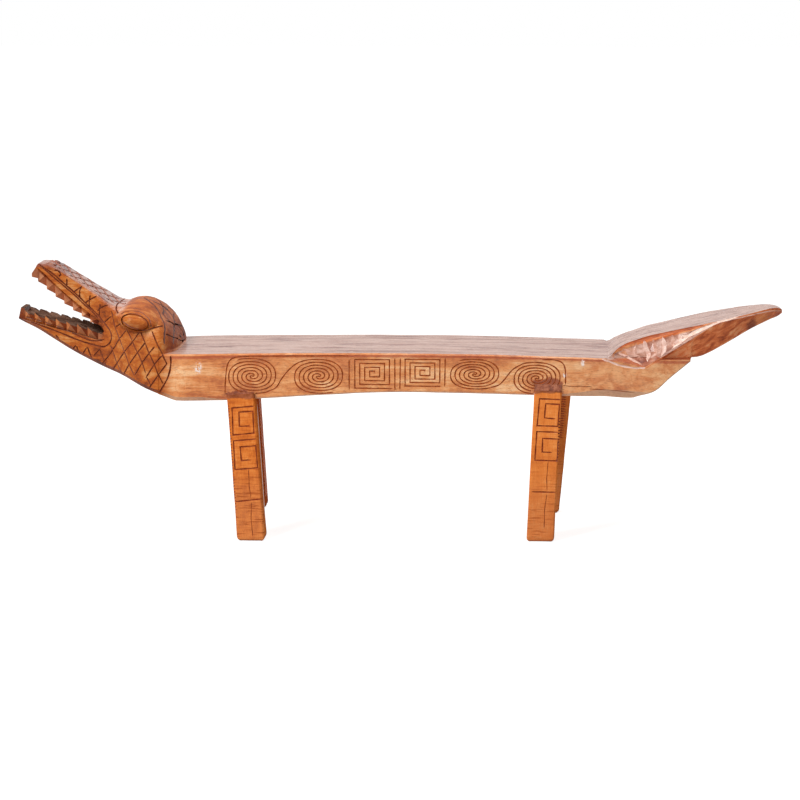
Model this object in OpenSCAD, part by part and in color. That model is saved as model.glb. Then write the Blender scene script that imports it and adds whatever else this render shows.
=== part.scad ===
// Carved crocodile bench: head, arched seat and tail paddle cut from one log, on four splayed legs.
// +X runs to the tail, -Y is the side that faces the viewer, +Z is up, the feet stand on Z = 0
// and X = Y = 0 is the middle of the footprint.

/* [Seat] */
// Height of the seat at the crown of its arch
seat_h = 410; // [390:1:430]
// Length of the seat from the collar behind the head to the root of the tail
seat_l = 954; // [900:1:1010]
// Distance from the collar to the crown of the arch
crown_at = 540; // [500:1:580]
// Width of the body
body_w = 300; // [290:1:330]
// Thickness of the body under the crown
body_t = 85; // [80:1:92]
// How far the seat falls from its crown to each end
seat_fall = 7; // [3:0.5:11]
// How far the underside falls from under the crown to the head end
under_fall_head = 25; // [18:0.5:30]
// How far the underside falls from under the crown to the tail end
under_fall_tail = 6; // [2:0.5:10]
// Bevel on the upper edges of the seat
edge_bevel = 3; // [2:0.5:5]
// Height of the bevel on the lower edge at the head end
low_bevel_head = 9; // [6:0.5:12]
// Height of the bevel on the lower edge at the tail end
low_bevel_tail = 17; // [12:0.5:20]
// Depth of the adze cuts on each side of the neck
neck_cut = 5; // [2:0.5:8]

/* [Head] */
// Length of the head from the collar to the tip of the lower jaw
head_l = 354; // [340:1:380]
// Height of the nose above the seat
head_rise = 190; // [180:1:205]
// Width of the jaws at their tips
snout_w = 90; // [80:1:104]
// Distance from the collar forward to the corner of the mouth
mouth_at = 160; // [150:1:170]
// Height of the corner of the mouth above the seat
mouth_up = 40; // [36:1:44]
// How far the lower row of teeth starts below the upper one
mouth_gap = 4; // [2:0.5:6]
// Slope of the upper row of tooth tips
gape_upper = 36; // [33:0.5:38]
// How far the middle of the upper row hangs below a straight line
row_bow = 7; // [3:0.5:10]
// Slope of the lower row of tooth tips
gape_lower = 14; // [12:0.5:16]
// How much shorter the upper jaw is than the lower one
overbite = 33; // [26:1:40]
// Teeth in each row
tooth_n = 7; // [5:1:9]
// Length of the upper teeth at the front of the mouth
tooth_l = 27; // [23:0.5:30]
// Length of the lower teeth
tooth_l_low = 20; // [16:0.5:23]
// How far the gums are set back behind the lips
gum_in = 8; // [6:0.5:9]
// How far the tooth points stand out from the gums
tooth_out = 13; // [10:0.5:15]
// How far the tooth points stand beyond the palate and the floor of the mouth
tooth_free = 6; // [4:0.5:9]
// Length of a brow
brow_l = 114; // [100:1:122]
// Height of a brow
brow_h = 72; // [66:1:80]
// Length of an eye
eye_l = 58; // [50:1:62]
// Height of an eye
eye_h = 31; // [26:1:33]
// Slope of the brows and the eyes, down towards the tail
eye_slope = 13; // [9:1:16]
// Width of the groove round an eye
lid_gap = 3.5; // [2.5:0.5:4.5]

/* [Tail] */
// Length of the tail from its root to the tip of the paddle
tail_l = 390; // [376:1:416]
// Height of the paddle's tip above the root
tail_rise = 99; // [90:1:112]
// Length of the beam's end under the paddle
heel_l = 185; // [175:1:195]
// Width of the paddle's flat top at its narrowest
paddle_w = 170; // [150:1:190]
// How far the paddle is cut in above the beam's end
heel_step = 8; // [5:0.5:11]

/* [Legs] */
// Width of a leg, seen from the side of the bench
leg_w = 60; // [54:1:68]
// Thickness of a leg, seen from the end of the bench
leg_t = 52; // [48:1:58]
// How far a leg's outer face stands proud of the body
leg_proud = 12; // [8:0.5:15]
// How deep a leg's top is housed in the body
leg_house = 10; // [8:0.5:14]
// Bevel on a leg's four long edges
leg_bevel = 3; // [1:0.5:5]
// Distance between the tops of the two legs on the viewer's side
spread_front = 672; // [640:1:700]
// Distance between the tops of the two legs on the far side
spread_back = 720; // [690:1:740]
// Outward splay of the legs by the head
splay_head = 8; // [5:0.5:10]
// Outward splay of the front leg by the tail
splay_tail_front = 2.5; // [1:0.5:5]
// Outward splay of the back leg by the tail
splay_tail_back = 5; // [3:0.5:8]
// Inward lean of the front leg by the head
lean_head_front = 4.6; // [2:0.2:6]
// Inward lean of the back leg by the head
lean_head_back = 2.5; // [1:0.5:5]
// Inward lean of the front leg by the tail
lean_tail_front = 2.5; // [1:0.5:5]
// Inward lean of the back leg by the tail
lean_tail_back = 5; // [1:0.5:6]
// Width of a tenon
tenon_w = 40; // [30:1:48]
// Thickness of a tenon
tenon_t = 28; // [22:1:32]
// Wood left between a mortise and the side of the body
mortise_wall = 8; // [6:0.5:10]
// Length of a tenon above its shoulder
tenon_h = 44; // [34:1:48]
// Clearance round a tenon and round a housed leg
joint_gap = 0.2; // [0.1:0.05:0.4]
// Height of the filler above a leg's top, against the body
filler_h = 17; // [10:0.5:22]
// Height of the filler's outer edge
filler_lip = 3; // [2:0.5:5]
// How far the filler stays inside the edges of the leg's top
filler_in = 1.5; // [1:0.5:4]

/* [Hidden] */
whole_l = head_l + seat_l + tail_l;
x_collar = head_l - whole_l / 2;
x_root = whole_l / 2 - tail_l;
x_crown = x_collar + crown_at;
half_w = body_w / 2;
wood = [0.80, 0.51, 0.29];
leg_wood = [0.78, 0.45, 0.22];
filler_dark = [0.45, 0.29, 0.22];

// A smooth curve through stations [where, value], level beyond its ends
function span_of(p, x, i = 0) = i >= len(p) - 2 || x < p[i + 1][0] ? i : span_of(p, x, i + 1);
function slope_at(p, i) = let (a = max(i - 1, 0), b = min(i + 1, len(p) - 1))
    (p[b][1] - p[a][1]) / (p[b][0] - p[a][0]);
function curve(p, x) = x <= p[0][0] ? p[0][1] : x >= p[len(p) - 1][0] ? p[len(p) - 1][1] :
    let (i = span_of(p, x), h = p[i + 1][0] - p[i][0], t = (x - p[i][0]) / h)
    p[i][1] * (2 * t * t * t - 3 * t * t + 1) + p[i + 1][1] * (3 * t * t - 2 * t * t * t)
    + h * slope_at(p, i) * (t * t * t - 2 * t * t + t) + h * slope_at(p, i + 1) * (t * t * t - t * t);
function ease(t) = let (c = min(max(t, 0), 1)) c * c * (3 - 2 * c);
function mix(a, b, t) = a + (b - a) * t;
function scaled(p, kx, ky) = [for (q = p) [q[0] * kx, q[1] * ky]];

// A skin over rings of equally many points, closed at both ends
module loft(rings) {
    n = len(rings[0]);
    m = len(rings);
    polyhedron(
        points = [for (r = rings) each r],
        faces = concat(
            [[for (i = [0:n - 1]) i]],
            [for (j = [0:m - 2], i = [0:n - 1]) [j * n + i, (j + 1) * n + i, j * n + (i + 1) % n]],
            [for (j = [0:m - 2], i = [0:n - 1]) [j * n + (i + 1) % n, (j + 1) * n + i, (j + 1) * n + (i + 1) % n]],
            [[for (i = [n - 1:-1:0]) (m - 1) * n + i]]),
        convexity = 10);
}

// Half a section, from the top to the bottom on the viewer's side, closed by its mirror image
function whole_ring(x, half) = concat(
    [for (p = half) [x, -p[0], p[1]]],
    [for (i = [len(half) - 1:-1:0]) [x, half[i][0], half[i][1]]]);

// A drawing in the plane of the bench's side, carried through from y0 to y1
module side_cut(points, y0, y1) {
    translate([0, y1, 0]) rotate([90, 0, 0]) linear_extrude(y1 - y0) polygon(points);
}

// Seat and underside heights along the bench
function run(x) = x < x_crown ? (x_crown - x) / crown_at : (x - x_crown) / (seat_l - crown_at);
function seat_z(x) = seat_h - seat_fall * pow(min(run(x), 1), 2);
function under_z(x) = seat_h - body_t - (x < x_crown ? under_fall_head : under_fall_tail) * ease(run(x));
z_collar = seat_h - seat_fall;
z_root = seat_h - seat_fall;
z_heel = seat_h - body_t - under_fall_tail;

// The tail's drawing, measured from its root: heights and half widths of its edges
kt = tail_l / 394;
kr = tail_rise / 99;
kh = heel_l / 185;
paddle_top = scaled([[0, 0], [9, 0], [25, 13], [45, 24], [70, 33], [97, 42], [136, 51], [180, 61],
    [238, 74], [297, 86], [340, 94], [368, 98], [384, 97], [391, 94], [394, 91]], kt, kr);
ridge = scaled([[0, -3], [20, -4], [50, -10], [85, -18], [103, -9], [121, 1], [170, 29], [214, 55],
    [250, 73], [297, 82], [340, 89], [368, 92], [384, 90], [391, 89], [394, 88.5]], kt, kr);
paddle_low = scaled([[180, 0], [209, 2], [259, 24], [324, 57], [368, 75], [384, 80], [391, 84], [394, 86]], kt, kr);
heel_low = [[0, 0], [58 * kh, -3], [72 * kh, 1], [111 * kh, 14], [142 * kh, 42], [heel_l, 77]];
// Where the paddle is cut in above the heel, and the heel's own upper edge
notch_z = z_root - 1;
function top_half(s) = min(curve([[0, half_w - edge_bevel], [10 * kt, half_w - 22], [25 * kt, mix(paddle_w / 2, half_w, 0.3)],
    [45 * kt, paddle_w / 2 + 4], [70 * kt, paddle_w / 2], [110 * kt, paddle_w / 2 + 1], [180 * kt, paddle_w / 2 + 8],
    [238 * kt, paddle_w / 2 + 8], [297 * kt, paddle_w / 2 - 8], [330 * kt, 62], [360 * kt, 43], [381 * kt, 23],
    [tail_l, 7]], s), half_w - edge_bevel);
function ridge_half(s) = curve([[0, half_w], [85 * kt, half_w - 1], [121 * kt, half_w - 8], [170 * kt, half_w - 23],
    [214 * kt, paddle_w / 2 + 28], [250 * kt, paddle_w / 2 + 14], [297 * kt, paddle_w / 2 - 3], [330 * kt, 67],
    [360 * kt, 47], [381 * kt, 26], [tail_l, 9]], s);
function low_half(s) = curve([[180 * kt, half_w - 38], [259 * kt, paddle_w / 2 - 2], [324 * kt, 48], [368 * kt, 22],
    [384 * kt, 12], [tail_l, 5]], s);
function heel_half(s) = s < 85 * kh ? half_w : mix(half_w, half_w - 20, ease((s - 85 * kh) / (heel_l - 85 * kh) / 1.6));

// Half section of the seat and the tail at x: top edge, hollow, ridge, notch, side and lower bevel
function beam_half(x) =
    let (s = x - x_root, hollow = ease(s / (22 * kt)), back = x_collar - x,
        neck = back > 26 * kl ? half_w - cheek(back) + 2 : neck_cut * ease((x_collar + 36 - x) / 30),
        tw = (s < 0 ? half_w - edge_bevel : top_half(s)) - neck,
        tz = s < 0 ? seat_z(x) : z_root + curve(paddle_top, s),
        rw = (s < 0 ? half_w : ridge_half(s)) - neck,
        rz = s < 0 ? tz - edge_bevel : min(z_root + curve(ridge, s), tz - edge_bevel),
        heel = s <= heel_l,
        cut = s < 121 * kt ? 0 : heel_step * ease((s - 121 * kt) / (20 * kt)),
        nw = heel ? min(rw, heel_half(s)) - cut : low_half(s),
        nz = heel ? min(rz - 2, notch_z) : z_root + curve(paddle_low, s),
        sw = s < 0 ? rw : heel ? heel_half(s) : nw - 1,
        sz = heel ? nz - 1.5 : nz - 1,
        bz = back > -14 * kl ? chin_z(back) + (back > 26 * kl ? 2 : 0) : s < 0 ? under_z(x) : heel ? z_heel + curve(heel_low, s) : nz - 3,
        left = max(0, (x_collar + 110 - x) / 40), right = max(0, (s + 80) / 60),
        bevel = 3 + (low_bevel_head - 3) * min(left, 1) + (low_bevel_tail - 3) * min(right, 1) * (1 - ease((s - 50 * kh) / (50 * kh))),
        lip = min(bevel, (sz - bz) / 2))
    [[tw, tz],
        [mix(tw, rw, mix(0.25, 0.04, hollow)), mix(tz, rz, mix(0.25, 0.36, hollow))],
        [mix(tw, rw, mix(0.50, 0.18, hollow)), mix(tz, rz, mix(0.50, 0.70, hollow))],
        [mix(tw, rw, mix(0.75, 0.52, hollow)), mix(tz, rz, mix(0.75, 0.93, hollow))],
        [rw, rz], [nw, nz], [sw, sz],
        [heel ? sw : sw - 2, bz + lip], [heel ? sw - lip * 0.5 : sw - 5, bz]];

module beam() {
    seat = [for (i = [0:20]) x_collar - 30 + (seat_l + 26) * i / 20];
    neck = [for (d = [-30, -26.5, -25.5, -18, -8, 0, 6, 14, 22, 30, 36]) x_collar + d * kl];
    tail = concat([for (s = [0:7:119]) x_root + s * kt], [for (s = [126:10:176]) x_root + s * kt]);
    tip = concat([for (s = [0:12:168]) mix(x_root + heel_l + 3, x_root + 363 * kt, s / 168)],
        [for (d = [370, 377, 383, 388, 392, 394]) x_root + d * kt]);
    xs = concat([x_collar - 60, x_collar - 45], neck, [for (x = seat) if (x > x_collar + 42 * kl) x], tail,
        [x_root + heel_l], tip);
    loft([for (x = xs) whole_ring(x, beam_half(x))]);
}

// The head's drawing, measured forward from the collar and up from the seat
kl = head_l / 354;
ku = head_rise / 190;
crown_line = scaled([[-12, 0], [-9, 14], [3, 40], [17, 62], [30, 77], [44, 88], [58, 94], [74, 97], [92, 97], [115, 95],
    [136, 98], [150, 106], [167, 118], [190, 132], [206, 143], [223, 153], [246, 168], [262, 178], [280, 184], [296, 186],
    [310, 185], [318, 180], [354, 180]], kl, ku);
chin_line = [[-12, 0], [22, 13], [57, 25], [104, 45], [163, 63], [222, 90], [266, 116], [308, 142], [354, 163]];
// Half width of the head in plan: broad at the brows, slender at the jaws
function cheek(s) = curve([[-12 * kl, 34], [-9 * kl, half_w - 76], [-4 * kl, half_w - 52], [4 * kl, half_w - 30],
    [12 * kl, half_w - 14], [24 * kl, half_w - 4], [45 * kl, half_w - 10], [72 * kl, half_w - 23], [100 * kl, half_w - 42],
    [130 * kl, half_w - 67], [160 * kl, half_w - 86], [190 * kl, snout_w / 2 + 9], [215 * kl, snout_w / 2 + 5],
    [260 * kl, snout_w / 2 + 3], [300 * kl, snout_w / 2 + 1], [338 * kl, snout_w / 2 - 4], [head_l, snout_w / 2 - 10]], s);
// Radius of the head's upper edges
function crown_round(s) = curve([[-12 * kl, 6], [4 * kl, 50], [35 * kl, 76], [80 * kl, 66], [118 * kl, 30], [150 * kl, 13],
    [head_l, 9]], s);
function chin_z(s) = mix(under_z(x_collar), z_collar + 63, curve(scaled(chin_line, kl, 1), s) / 166);
function head_half(s) =
    let (w = cheek(s), zt = z_collar + curve(crown_line, s), zb = s < 24 * kl ? z_collar - 40 : chin_z(s),
        low = s < 24 * kl ? 3 : 9, r = min(crown_round(s), w * 0.9, (zt - zb - low) * 0.8))
    concat([for (a = [90:-15:0]) [w - r + r * cos(a), zt - r + r * sin(a)]], [[w, zb + low], [w - low, zb]]);

// The tooth rows: d is the distance forward from the corner of the mouth
upper_row = head_l - overbite - 14 - mouth_at;
lower_row = head_l - 14 - mouth_at;
function tip_z(upper, d) = z_collar + mouth_up - (upper ? 0 : mouth_gap) + d * tan(upper ? gape_upper : gape_lower)
    - (upper ? row_bow * sin(180 * min(max(d / upper_row, 0), 1)) : 0);
function gum_z(upper, d) = tip_z(upper, d)
    + (upper ? mix(tooth_l / 2, tooth_l, min(d / upper_row, 1)) / cos(gape_upper) : -tooth_l_low / cos(gape_lower));
function ahead(d) = x_collar - mouth_at - d;

module mouth_opening() {
    tip = head_l - mouth_at;
    side_cut(concat([[ahead(-3), z_collar + mouth_up - mouth_gap / 2]],
        [for (i = [0:8]) let (d = 3 + (upper_row - 3) * i / 8) [ahead(d), tip_z(true, d) + tooth_free]],
        [[ahead(upper_row + 14), tip_z(true, upper_row) + 9],
        [ahead(upper_row + 14), tip_z(true, upper_row) + 17],
        [ahead(upper_row), z_collar + head_rise - 6],
        [ahead(upper_row), z_collar + head_rise + 40],
        [ahead(tip + 20), z_collar + head_rise + 40],
        [ahead(tip + 20), tip_z(false, tip) - 40],
        [ahead(tip), tip_z(false, tip) - 21],
        [ahead(tip - 6), tip_z(false, tip) + 2],
        [ahead(lower_row), tip_z(false, lower_row) + 4],
        [ahead(lower_row - 4), tip_z(false, lower_row) - tooth_free],
        [ahead(3), tip_z(false, 3) - tooth_free]]), -half_w - 20, half_w + 20);
}

// The gums lie behind the lips on both sides, round the corner of the mouth
module gums() {
    outline = concat(
        [for (d = [4:(upper_row + 10) / 6:upper_row + 30]) [ahead(d), gum_z(true, d)]],
        [[ahead(head_l), gum_z(true, upper_row + 30)], [ahead(head_l), gum_z(false, lower_row + 30)]],
        [for (i = [6:-1:0]) let (d = 14 + i * lower_row / 6) [ahead(d), gum_z(false, d)]],
        [[ahead(4), gum_z(false, 8) + 2], [ahead(-2), gum_z(false, 3) + 8], [ahead(-5), mix(gum_z(false, 0), gum_z(true, 0), 0.6)]]);
    for (y = [-1, 1]) intersection() {
        side_cut(outline, -half_w - 30, half_w + 30);
        translate([0, 0, z_collar - 60]) linear_extrude(head_rise + 120) polygon(concat(
            [for (s = [103:11:head_l + 12]) [x_collar - s, y * (cheek(s) - gum_in)]],
            [[x_collar - head_l - 40, y * (half_w + 40)], [x_collar - 103, y * (half_w + 40)]]));
    }
}

// One tooth: a pyramid on the gum whose point stands forward, out of the gum and past the palate
module tooth(upper, d_front, d_back, y) {
    up = upper ? 1 : -1;
    corners = [[d_front, gum_z(upper, d_front) + up * 2], [d_back, gum_z(upper, d_back) + up * 2],
        [d_back, tip_z(upper, d_back) + up * tooth_free], [d_front, tip_z(upper, d_front)]];
    base = [for (depth = [14, -0.7], c = corners) [ahead(c[0]), y * (cheek(mouth_at + c[0]) - gum_in - depth), c[1]]];
    d = upper ? d_front - 3 : mix(d_front, d_back, 0.45);
    point = [ahead(d), y * (cheek(mouth_at + d) - gum_in + tooth_out), tip_z(upper, d) + up * 3];
    hull() polyhedron(points = concat(base, [point]),
        faces = [[0, 3, 2, 1], [0, 1, 5, 4], [1, 2, 6, 5], [2, 3, 7, 6], [3, 0, 4, 7], [4, 5, 8], [5, 6, 8], [6, 7, 8], [7, 4, 8]]);
}

module teeth() {
    for (y = [-1, 1], upper = [true, false]) {
        row = upper ? upper_row : lower_row;
        back = upper ? 10 : 12;
        for (i = [0:tooth_n - 1])
            tooth(upper, mix(back, row, (i + 1) / tooth_n), mix(back, row, i / tooth_n), y);
    }
}

// A brow on each side, blended from a dome by the crown to the mound round the eye, and the eye in its outer face
brow_at = 72 * kl;
brow_z = z_collar + 69 * ku;
module brow(y) {
    hull() {
        translate([x_collar - brow_at - 7, y * 16, brow_z]) scale([brow_l / 2 - 4, half_w - 58, brow_h / 2 + 2] / 100)
            sphere(100, $fn = 28);
        translate([x_collar - brow_at - 4, y * (half_w - 50), brow_z - 1]) rotate([0, eye_slope, 0])
            scale([brow_l / 2 - 6, 47, brow_h / 2 - 11] / 100) sphere(100, $fn = 28);
    }
}
module eye(y, grow, deep) {
    translate([x_collar - brow_at - 3, y * (half_w - 14), brow_z]) rotate([0, eye_slope, y * 3])
        scale([eye_l / 2 + grow, deep, eye_h / 2 + grow] / 100) sphere(100, $fn = 24);
}

module head() {
    difference() {
        union() {
            loft([for (s = concat([354, 350, 345], [for (i = [32:-1:1]) 24.5 + (340 - 24.5) * i / 32], [24.5, 23.5, 18, 12, 7, 3, -1, -5, -8, -10.5, -12]))
                whole_ring(x_collar - s * kl, head_half(s * kl))]);
            for (y = [-1, 1]) brow(y);
        }
        mouth_opening();
        gums();
        for (y = [-1, 1]) eye(y, lid_gap, 11);
    }
    teeth();
    for (y = [-1, 1]) eye(y, 0, 13);
    // Nostril mounds on the nose
    for (y = [-1, 1]) translate([x_collar - 282 * kl, y * snout_w * 0.28, z_collar + head_rise - 10])
        scale([16, 13, 8] / 100) sphere(100, $fn = 16);
}

// A leg's own frame: origin at the middle of its top end, +Z along the leg
function leg_x(front, tail) = x_collar + seat_l / 2 + 18 + (tail ? 1 : -1) * (front ? spread_front : spread_back) / 2;
module leg_frame(front, tail, lean) {
    x = leg_x(front, tail);
    splay = tail ? (front ? splay_tail_front : splay_tail_back) : splay_head;
    translate([x, (front ? -1 : 1) * (half_w + leg_proud - leg_t / 2), under_z(x) + leg_house])
        rotate([front ? -splay : splay, tail ? lean : -lean, 0]) children();
}

module leg_section(grow) {
    w = leg_w / 2 + grow;
    t = leg_t / 2 + grow;
    b = leg_bevel;
    polygon([[-w + b, -t], [w - b, -t], [w, -t + b], [w, t - b], [w - b, t], [-w + b, t], [-w, t - b], [-w, -t + b]]);
}

module tenon(front, grow, extra) {
    y = (front ? 1 : -1) * (leg_proud - leg_t / 2 + mortise_wall + tenon_t / 2);
    translate([-tenon_w / 2 - grow, y - tenon_t / 2 - grow, -1])
        cube([tenon_w + 2 * grow, tenon_t + 2 * grow, tenon_h + 1 + extra]);
}

module leg(front, tail, lean) {
    color(leg_wood) difference() {
        leg_frame(front, tail, lean) union() {
            translate([0, 0, -seat_h]) linear_extrude(seat_h) leg_section(0);
            tenon(front, 0, 0);
        }
        translate([-whole_l, -body_w * 2, -seat_h]) cube([whole_l * 2, body_w * 4, seat_h]);
    }
}

// The housing and the blind mortise that take a leg's top
module leg_hole(front, tail, lean) {
    leg_frame(front, tail, lean) {
        translate([0, 0, -60]) linear_extrude(60) leg_section(joint_gap);
        tenon(front, joint_gap, 2);
    }
}

// Dark filler smeared over the proud top of a leg, up the side of the body
module filler(front, tail, lean) {
    out = leg_t / 2 - filler_in;
    y = front ? 1 : -1;
    color(filler_dark) difference() {
        leg_frame(front, tail, lean) translate([-leg_w / 2 + filler_in, 0, 0]) rotate([90, 0, 90])
            linear_extrude(leg_w - 2 * filler_in) polygon([[-y * out, 0], [-y * out, filler_lip],
                [-y * (leg_t / 2 - leg_proud), filler_h], [0, filler_h + 4], [0, 0]]);
        translate([-whole_l / 2, -half_w, 0]) cube([whole_l, body_w, seat_h * 2]);
    }
}

module carved_body() {
    color(wood) difference() {
        union() {
            beam();
            head();
        }
        leg_hole(true, false, lean_head_front);
        leg_hole(false, false, lean_head_back);
        leg_hole(true, true, lean_tail_front);
        leg_hole(false, true, lean_tail_back);
    }
}

module leg_head_front() { leg(true, false, lean_head_front); }
module leg_head_back() { leg(false, false, lean_head_back); }
module leg_tail_front() { leg(true, true, lean_tail_front); }
module leg_tail_back() { leg(false, true, lean_tail_back); }
module filler_head_front() { filler(true, false, lean_head_front); }
module filler_head_back() { filler(false, false, lean_head_back); }
module filler_tail_front() { filler(true, true, lean_tail_front); }
module filler_tail_back() { filler(false, true, lean_tail_back); }

carved_body();
leg_head_front();
leg_head_back();
leg_tail_front();
leg_tail_back();
filler_head_front();
filler_head_back();
filler_tail_front();
filler_tail_back();
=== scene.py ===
# %% [markdown]
# # A carved crocodile bench
# The bench is one log, carved with an open-mouthed head, an arched seat and a tail, standing on
# four legs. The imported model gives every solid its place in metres. This lesson loads it, carves
# the lines that a gouge would cut, and gives the wood its varnish, its grain and its stain.

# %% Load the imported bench
import math

import bmesh
import bpy
from mathutils import Matrix, Vector
from mathutils.bvhtree import BVHTree


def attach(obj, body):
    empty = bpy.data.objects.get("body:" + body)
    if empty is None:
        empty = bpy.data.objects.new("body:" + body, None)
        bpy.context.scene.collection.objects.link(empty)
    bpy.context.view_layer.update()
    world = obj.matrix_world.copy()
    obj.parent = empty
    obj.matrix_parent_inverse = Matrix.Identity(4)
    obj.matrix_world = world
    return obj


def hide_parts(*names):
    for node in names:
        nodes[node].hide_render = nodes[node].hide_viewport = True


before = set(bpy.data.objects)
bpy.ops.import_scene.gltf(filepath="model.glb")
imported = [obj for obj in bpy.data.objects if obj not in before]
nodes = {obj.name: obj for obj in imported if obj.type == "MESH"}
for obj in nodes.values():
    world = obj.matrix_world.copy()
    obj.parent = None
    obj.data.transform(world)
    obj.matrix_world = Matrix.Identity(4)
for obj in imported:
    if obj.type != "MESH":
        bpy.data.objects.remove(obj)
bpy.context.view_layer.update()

print("nodes:", ", ".join(sorted(nodes)))

# %% [markdown]
# ## Names for the bench's main sizes
# The carved lines are placed by the same few heights and lengths that shaped the log: the collar
# behind the head, the crown of the arch and the root of the tail. They are measured in
# millimetres, as a maker would, and one factor, MM, turns them into Blender's metres.

# %% Main sizes, in millimetres
MM = 0.001
COLLAR = -495
ROOT = 459
CROWN = 45
SEAT_TOP = 410
SEAT_FALL = 7
SEAT_END = SEAT_TOP - SEAT_FALL
HALF_WIDTH = 150
REACH = 400
NEAR, FAR = -1, 1


def from_crown(x):
    """How far x lies from the crown, as a share of the way to the seat's end on that side."""
    return min((CROWN - x) / (CROWN - COLLAR) if x < CROWN else (x - CROWN) / (ROOT - CROWN), 1)


def seat_height(x):
    """Height of the seat's surface at x."""
    return SEAT_TOP - SEAT_FALL * from_crown(x) ** 2


print("seat at the collar, the crown and the root:", [round(seat_height(x)) for x in (COLLAR, CROWN, ROOT)])

# %% [markdown]
# ## Where the viewer stands
# Round the brow and the tail the lines are drawn as the viewer sees them, so the viewer's place is
# needed long before the camera is made. It is given as a point to look at, two angles and a
# distance, because those can be read off a view of a bench, and coordinates can't.

# %% The viewer's eye, in metres
LOOK = Vector((0.004, 0, 0.283))
TURN, TILT, AWAY = math.radians(3.5), math.radians(9.3), 6.2
EYE = LOOK + AWAY * Vector((math.sin(TURN) * math.cos(TILT), -math.cos(TURN) * math.cos(TILT),
                            math.sin(TILT)))
print("the eye is at", [round(c, 2) for c in EYE])

# %% [markdown]
# ## Working on one piece at a time
# An operator acts on everything that is selected, and the loaded nodes are selected to begin
# with. So each step starts by picking its one piece.

# %% Pick, copy and measure a piece
WELD = 0.002


def pick(*pieces):
    """Select these objects alone, the last one active."""
    bpy.ops.object.select_all(action="DESELECT")
    for piece in pieces:
        piece.select_set(True)
    bpy.context.view_layer.objects.active = pieces[-1]


def copy_of(node, name):
    """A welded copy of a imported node, free to be carved."""
    made = bpy.data.objects.new(name, nodes[node].data.copy())
    made.data.materials.clear()
    bpy.context.scene.collection.objects.link(made)
    pick(made)
    bpy.ops.object.mode_set(mode="EDIT")
    bpy.ops.mesh.select_all(action="SELECT")
    bpy.ops.mesh.remove_doubles(threshold=WELD * MM)
    bpy.ops.object.mode_set(mode="OBJECT")
    if made.data.has_custom_normals:
        bpy.ops.mesh.customdata_custom_splitnormals_clear()
    return made


def apply(piece, modifier):
    """Apply a modifier that has just been added."""
    pick(piece)
    bpy.ops.object.modifier_apply(modifier=modifier.name)


def triangles(piece):
    """How many triangles a piece has."""
    piece.data.calc_loop_triangles()
    return len(piece.data.loop_triangles)

print("the log as packed:", triangles(nodes["carved_body"]), "triangles")

# %% [markdown]
# ## The log
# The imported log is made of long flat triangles. A hand-hewn log isn't that flat, so the beam is
# first sliced into strips across and along, which gives its wide faces points to move. The
# slices leave the shape as it is. A slow cloud pattern then lifts and lowers the surface by less
# than a millimetre, as an adze leaves it.

# %% Slice the beam and let its faces wander
# Millimetres between the slices along, across and up the beam, and where they begin and stop
STRIP, PLANK, LAYER, LOWEST_LAYER = 16, 20, 18, 330
BEAM_START, BEAM_STOP, TAIL_STOP = COLLAR + 20, ROOT + 60, ROOT + 300
# How broad the swells of a hewn face are, and how high
HEW_SIZE, HEW_HEIGHT = 90, 1.6


def saw(piece, axis, places, low, high):
    """Slice the faces whose middle lies between low and high along X at places on an axis."""
    pick(piece)
    bpy.ops.object.mode_set(mode="EDIT")
    bpy.ops.mesh.select_all(action="DESELECT")
    bpy.ops.object.mode_set(mode="OBJECT")
    for face in piece.data.polygons:
        face.hide = not low * MM < face.center.x < high * MM
    bpy.ops.object.mode_set(mode="EDIT")
    for place in places:
        point, normal = [0, 0, 0], [0, 0, 0]
        point[axis], normal[axis] = place * MM, 1
        bpy.ops.mesh.select_all(action="SELECT")
        bpy.ops.mesh.bisect(plane_co=point, plane_no=normal)
    bpy.ops.mesh.reveal(select=False)
    bpy.ops.object.mode_set(mode="OBJECT")


def hew(piece, size, depth):
    """Move the surface in and out by a slow cloud pattern."""
    clouds = bpy.data.textures.new(piece.name + "_hewn", "CLOUDS")
    clouds.noise_scale = size * MM
    wander = piece.modifiers.new("hewn", "DISPLACE")
    wander.texture = clouds
    wander.texture_coords = "LOCAL"
    wander.mid_level = 0.5
    wander.strength = depth * MM
    apply(piece, wander)


log = copy_of("carved_body", "log")
saw(log, 0, range(BEAM_START + 10, ROOT + 100, STRIP), BEAM_START, TAIL_STOP)
saw(log, 1, range(10 - HALF_WIDTH, HALF_WIDTH, PLANK), BEAM_START, TAIL_STOP)
saw(log, 2, range(LOWEST_LAYER, SEAT_END - 2, LAYER), BEAM_START, BEAM_STOP)
hew(log, HEW_SIZE, HEW_HEIGHT)
print("log sliced and hewn:", triangles(log), "triangles")

# %% [markdown]
# ## Lines on the wood
# A carved line starts as a drawing, on paper in the plane of the bench's side or round the head.
# Every point of it is sent along a ray until it meets the wood. A Shrinkwrap modifier could pull
# a curve on to the wood as well, but it takes each point to the nearest place, and so slides a
# drawing round a corner. A ray keeps the drawing as it looks from where it was drawn.

# %% Draw a line and lay it on the wood
STEP = 5
CURVE_PARTS = 6


def spaced(line, step=STEP):
    """The same line with points about a step apart, corners kept."""
    points = [Vector(p) for p in line]
    made = [points[0]]
    for a, b in zip(points, points[1:]):
        parts = max(1, round((b - a).length / step))
        made += [a.lerp(b, i / parts) for i in range(1, parts + 1)]
    return made


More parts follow.
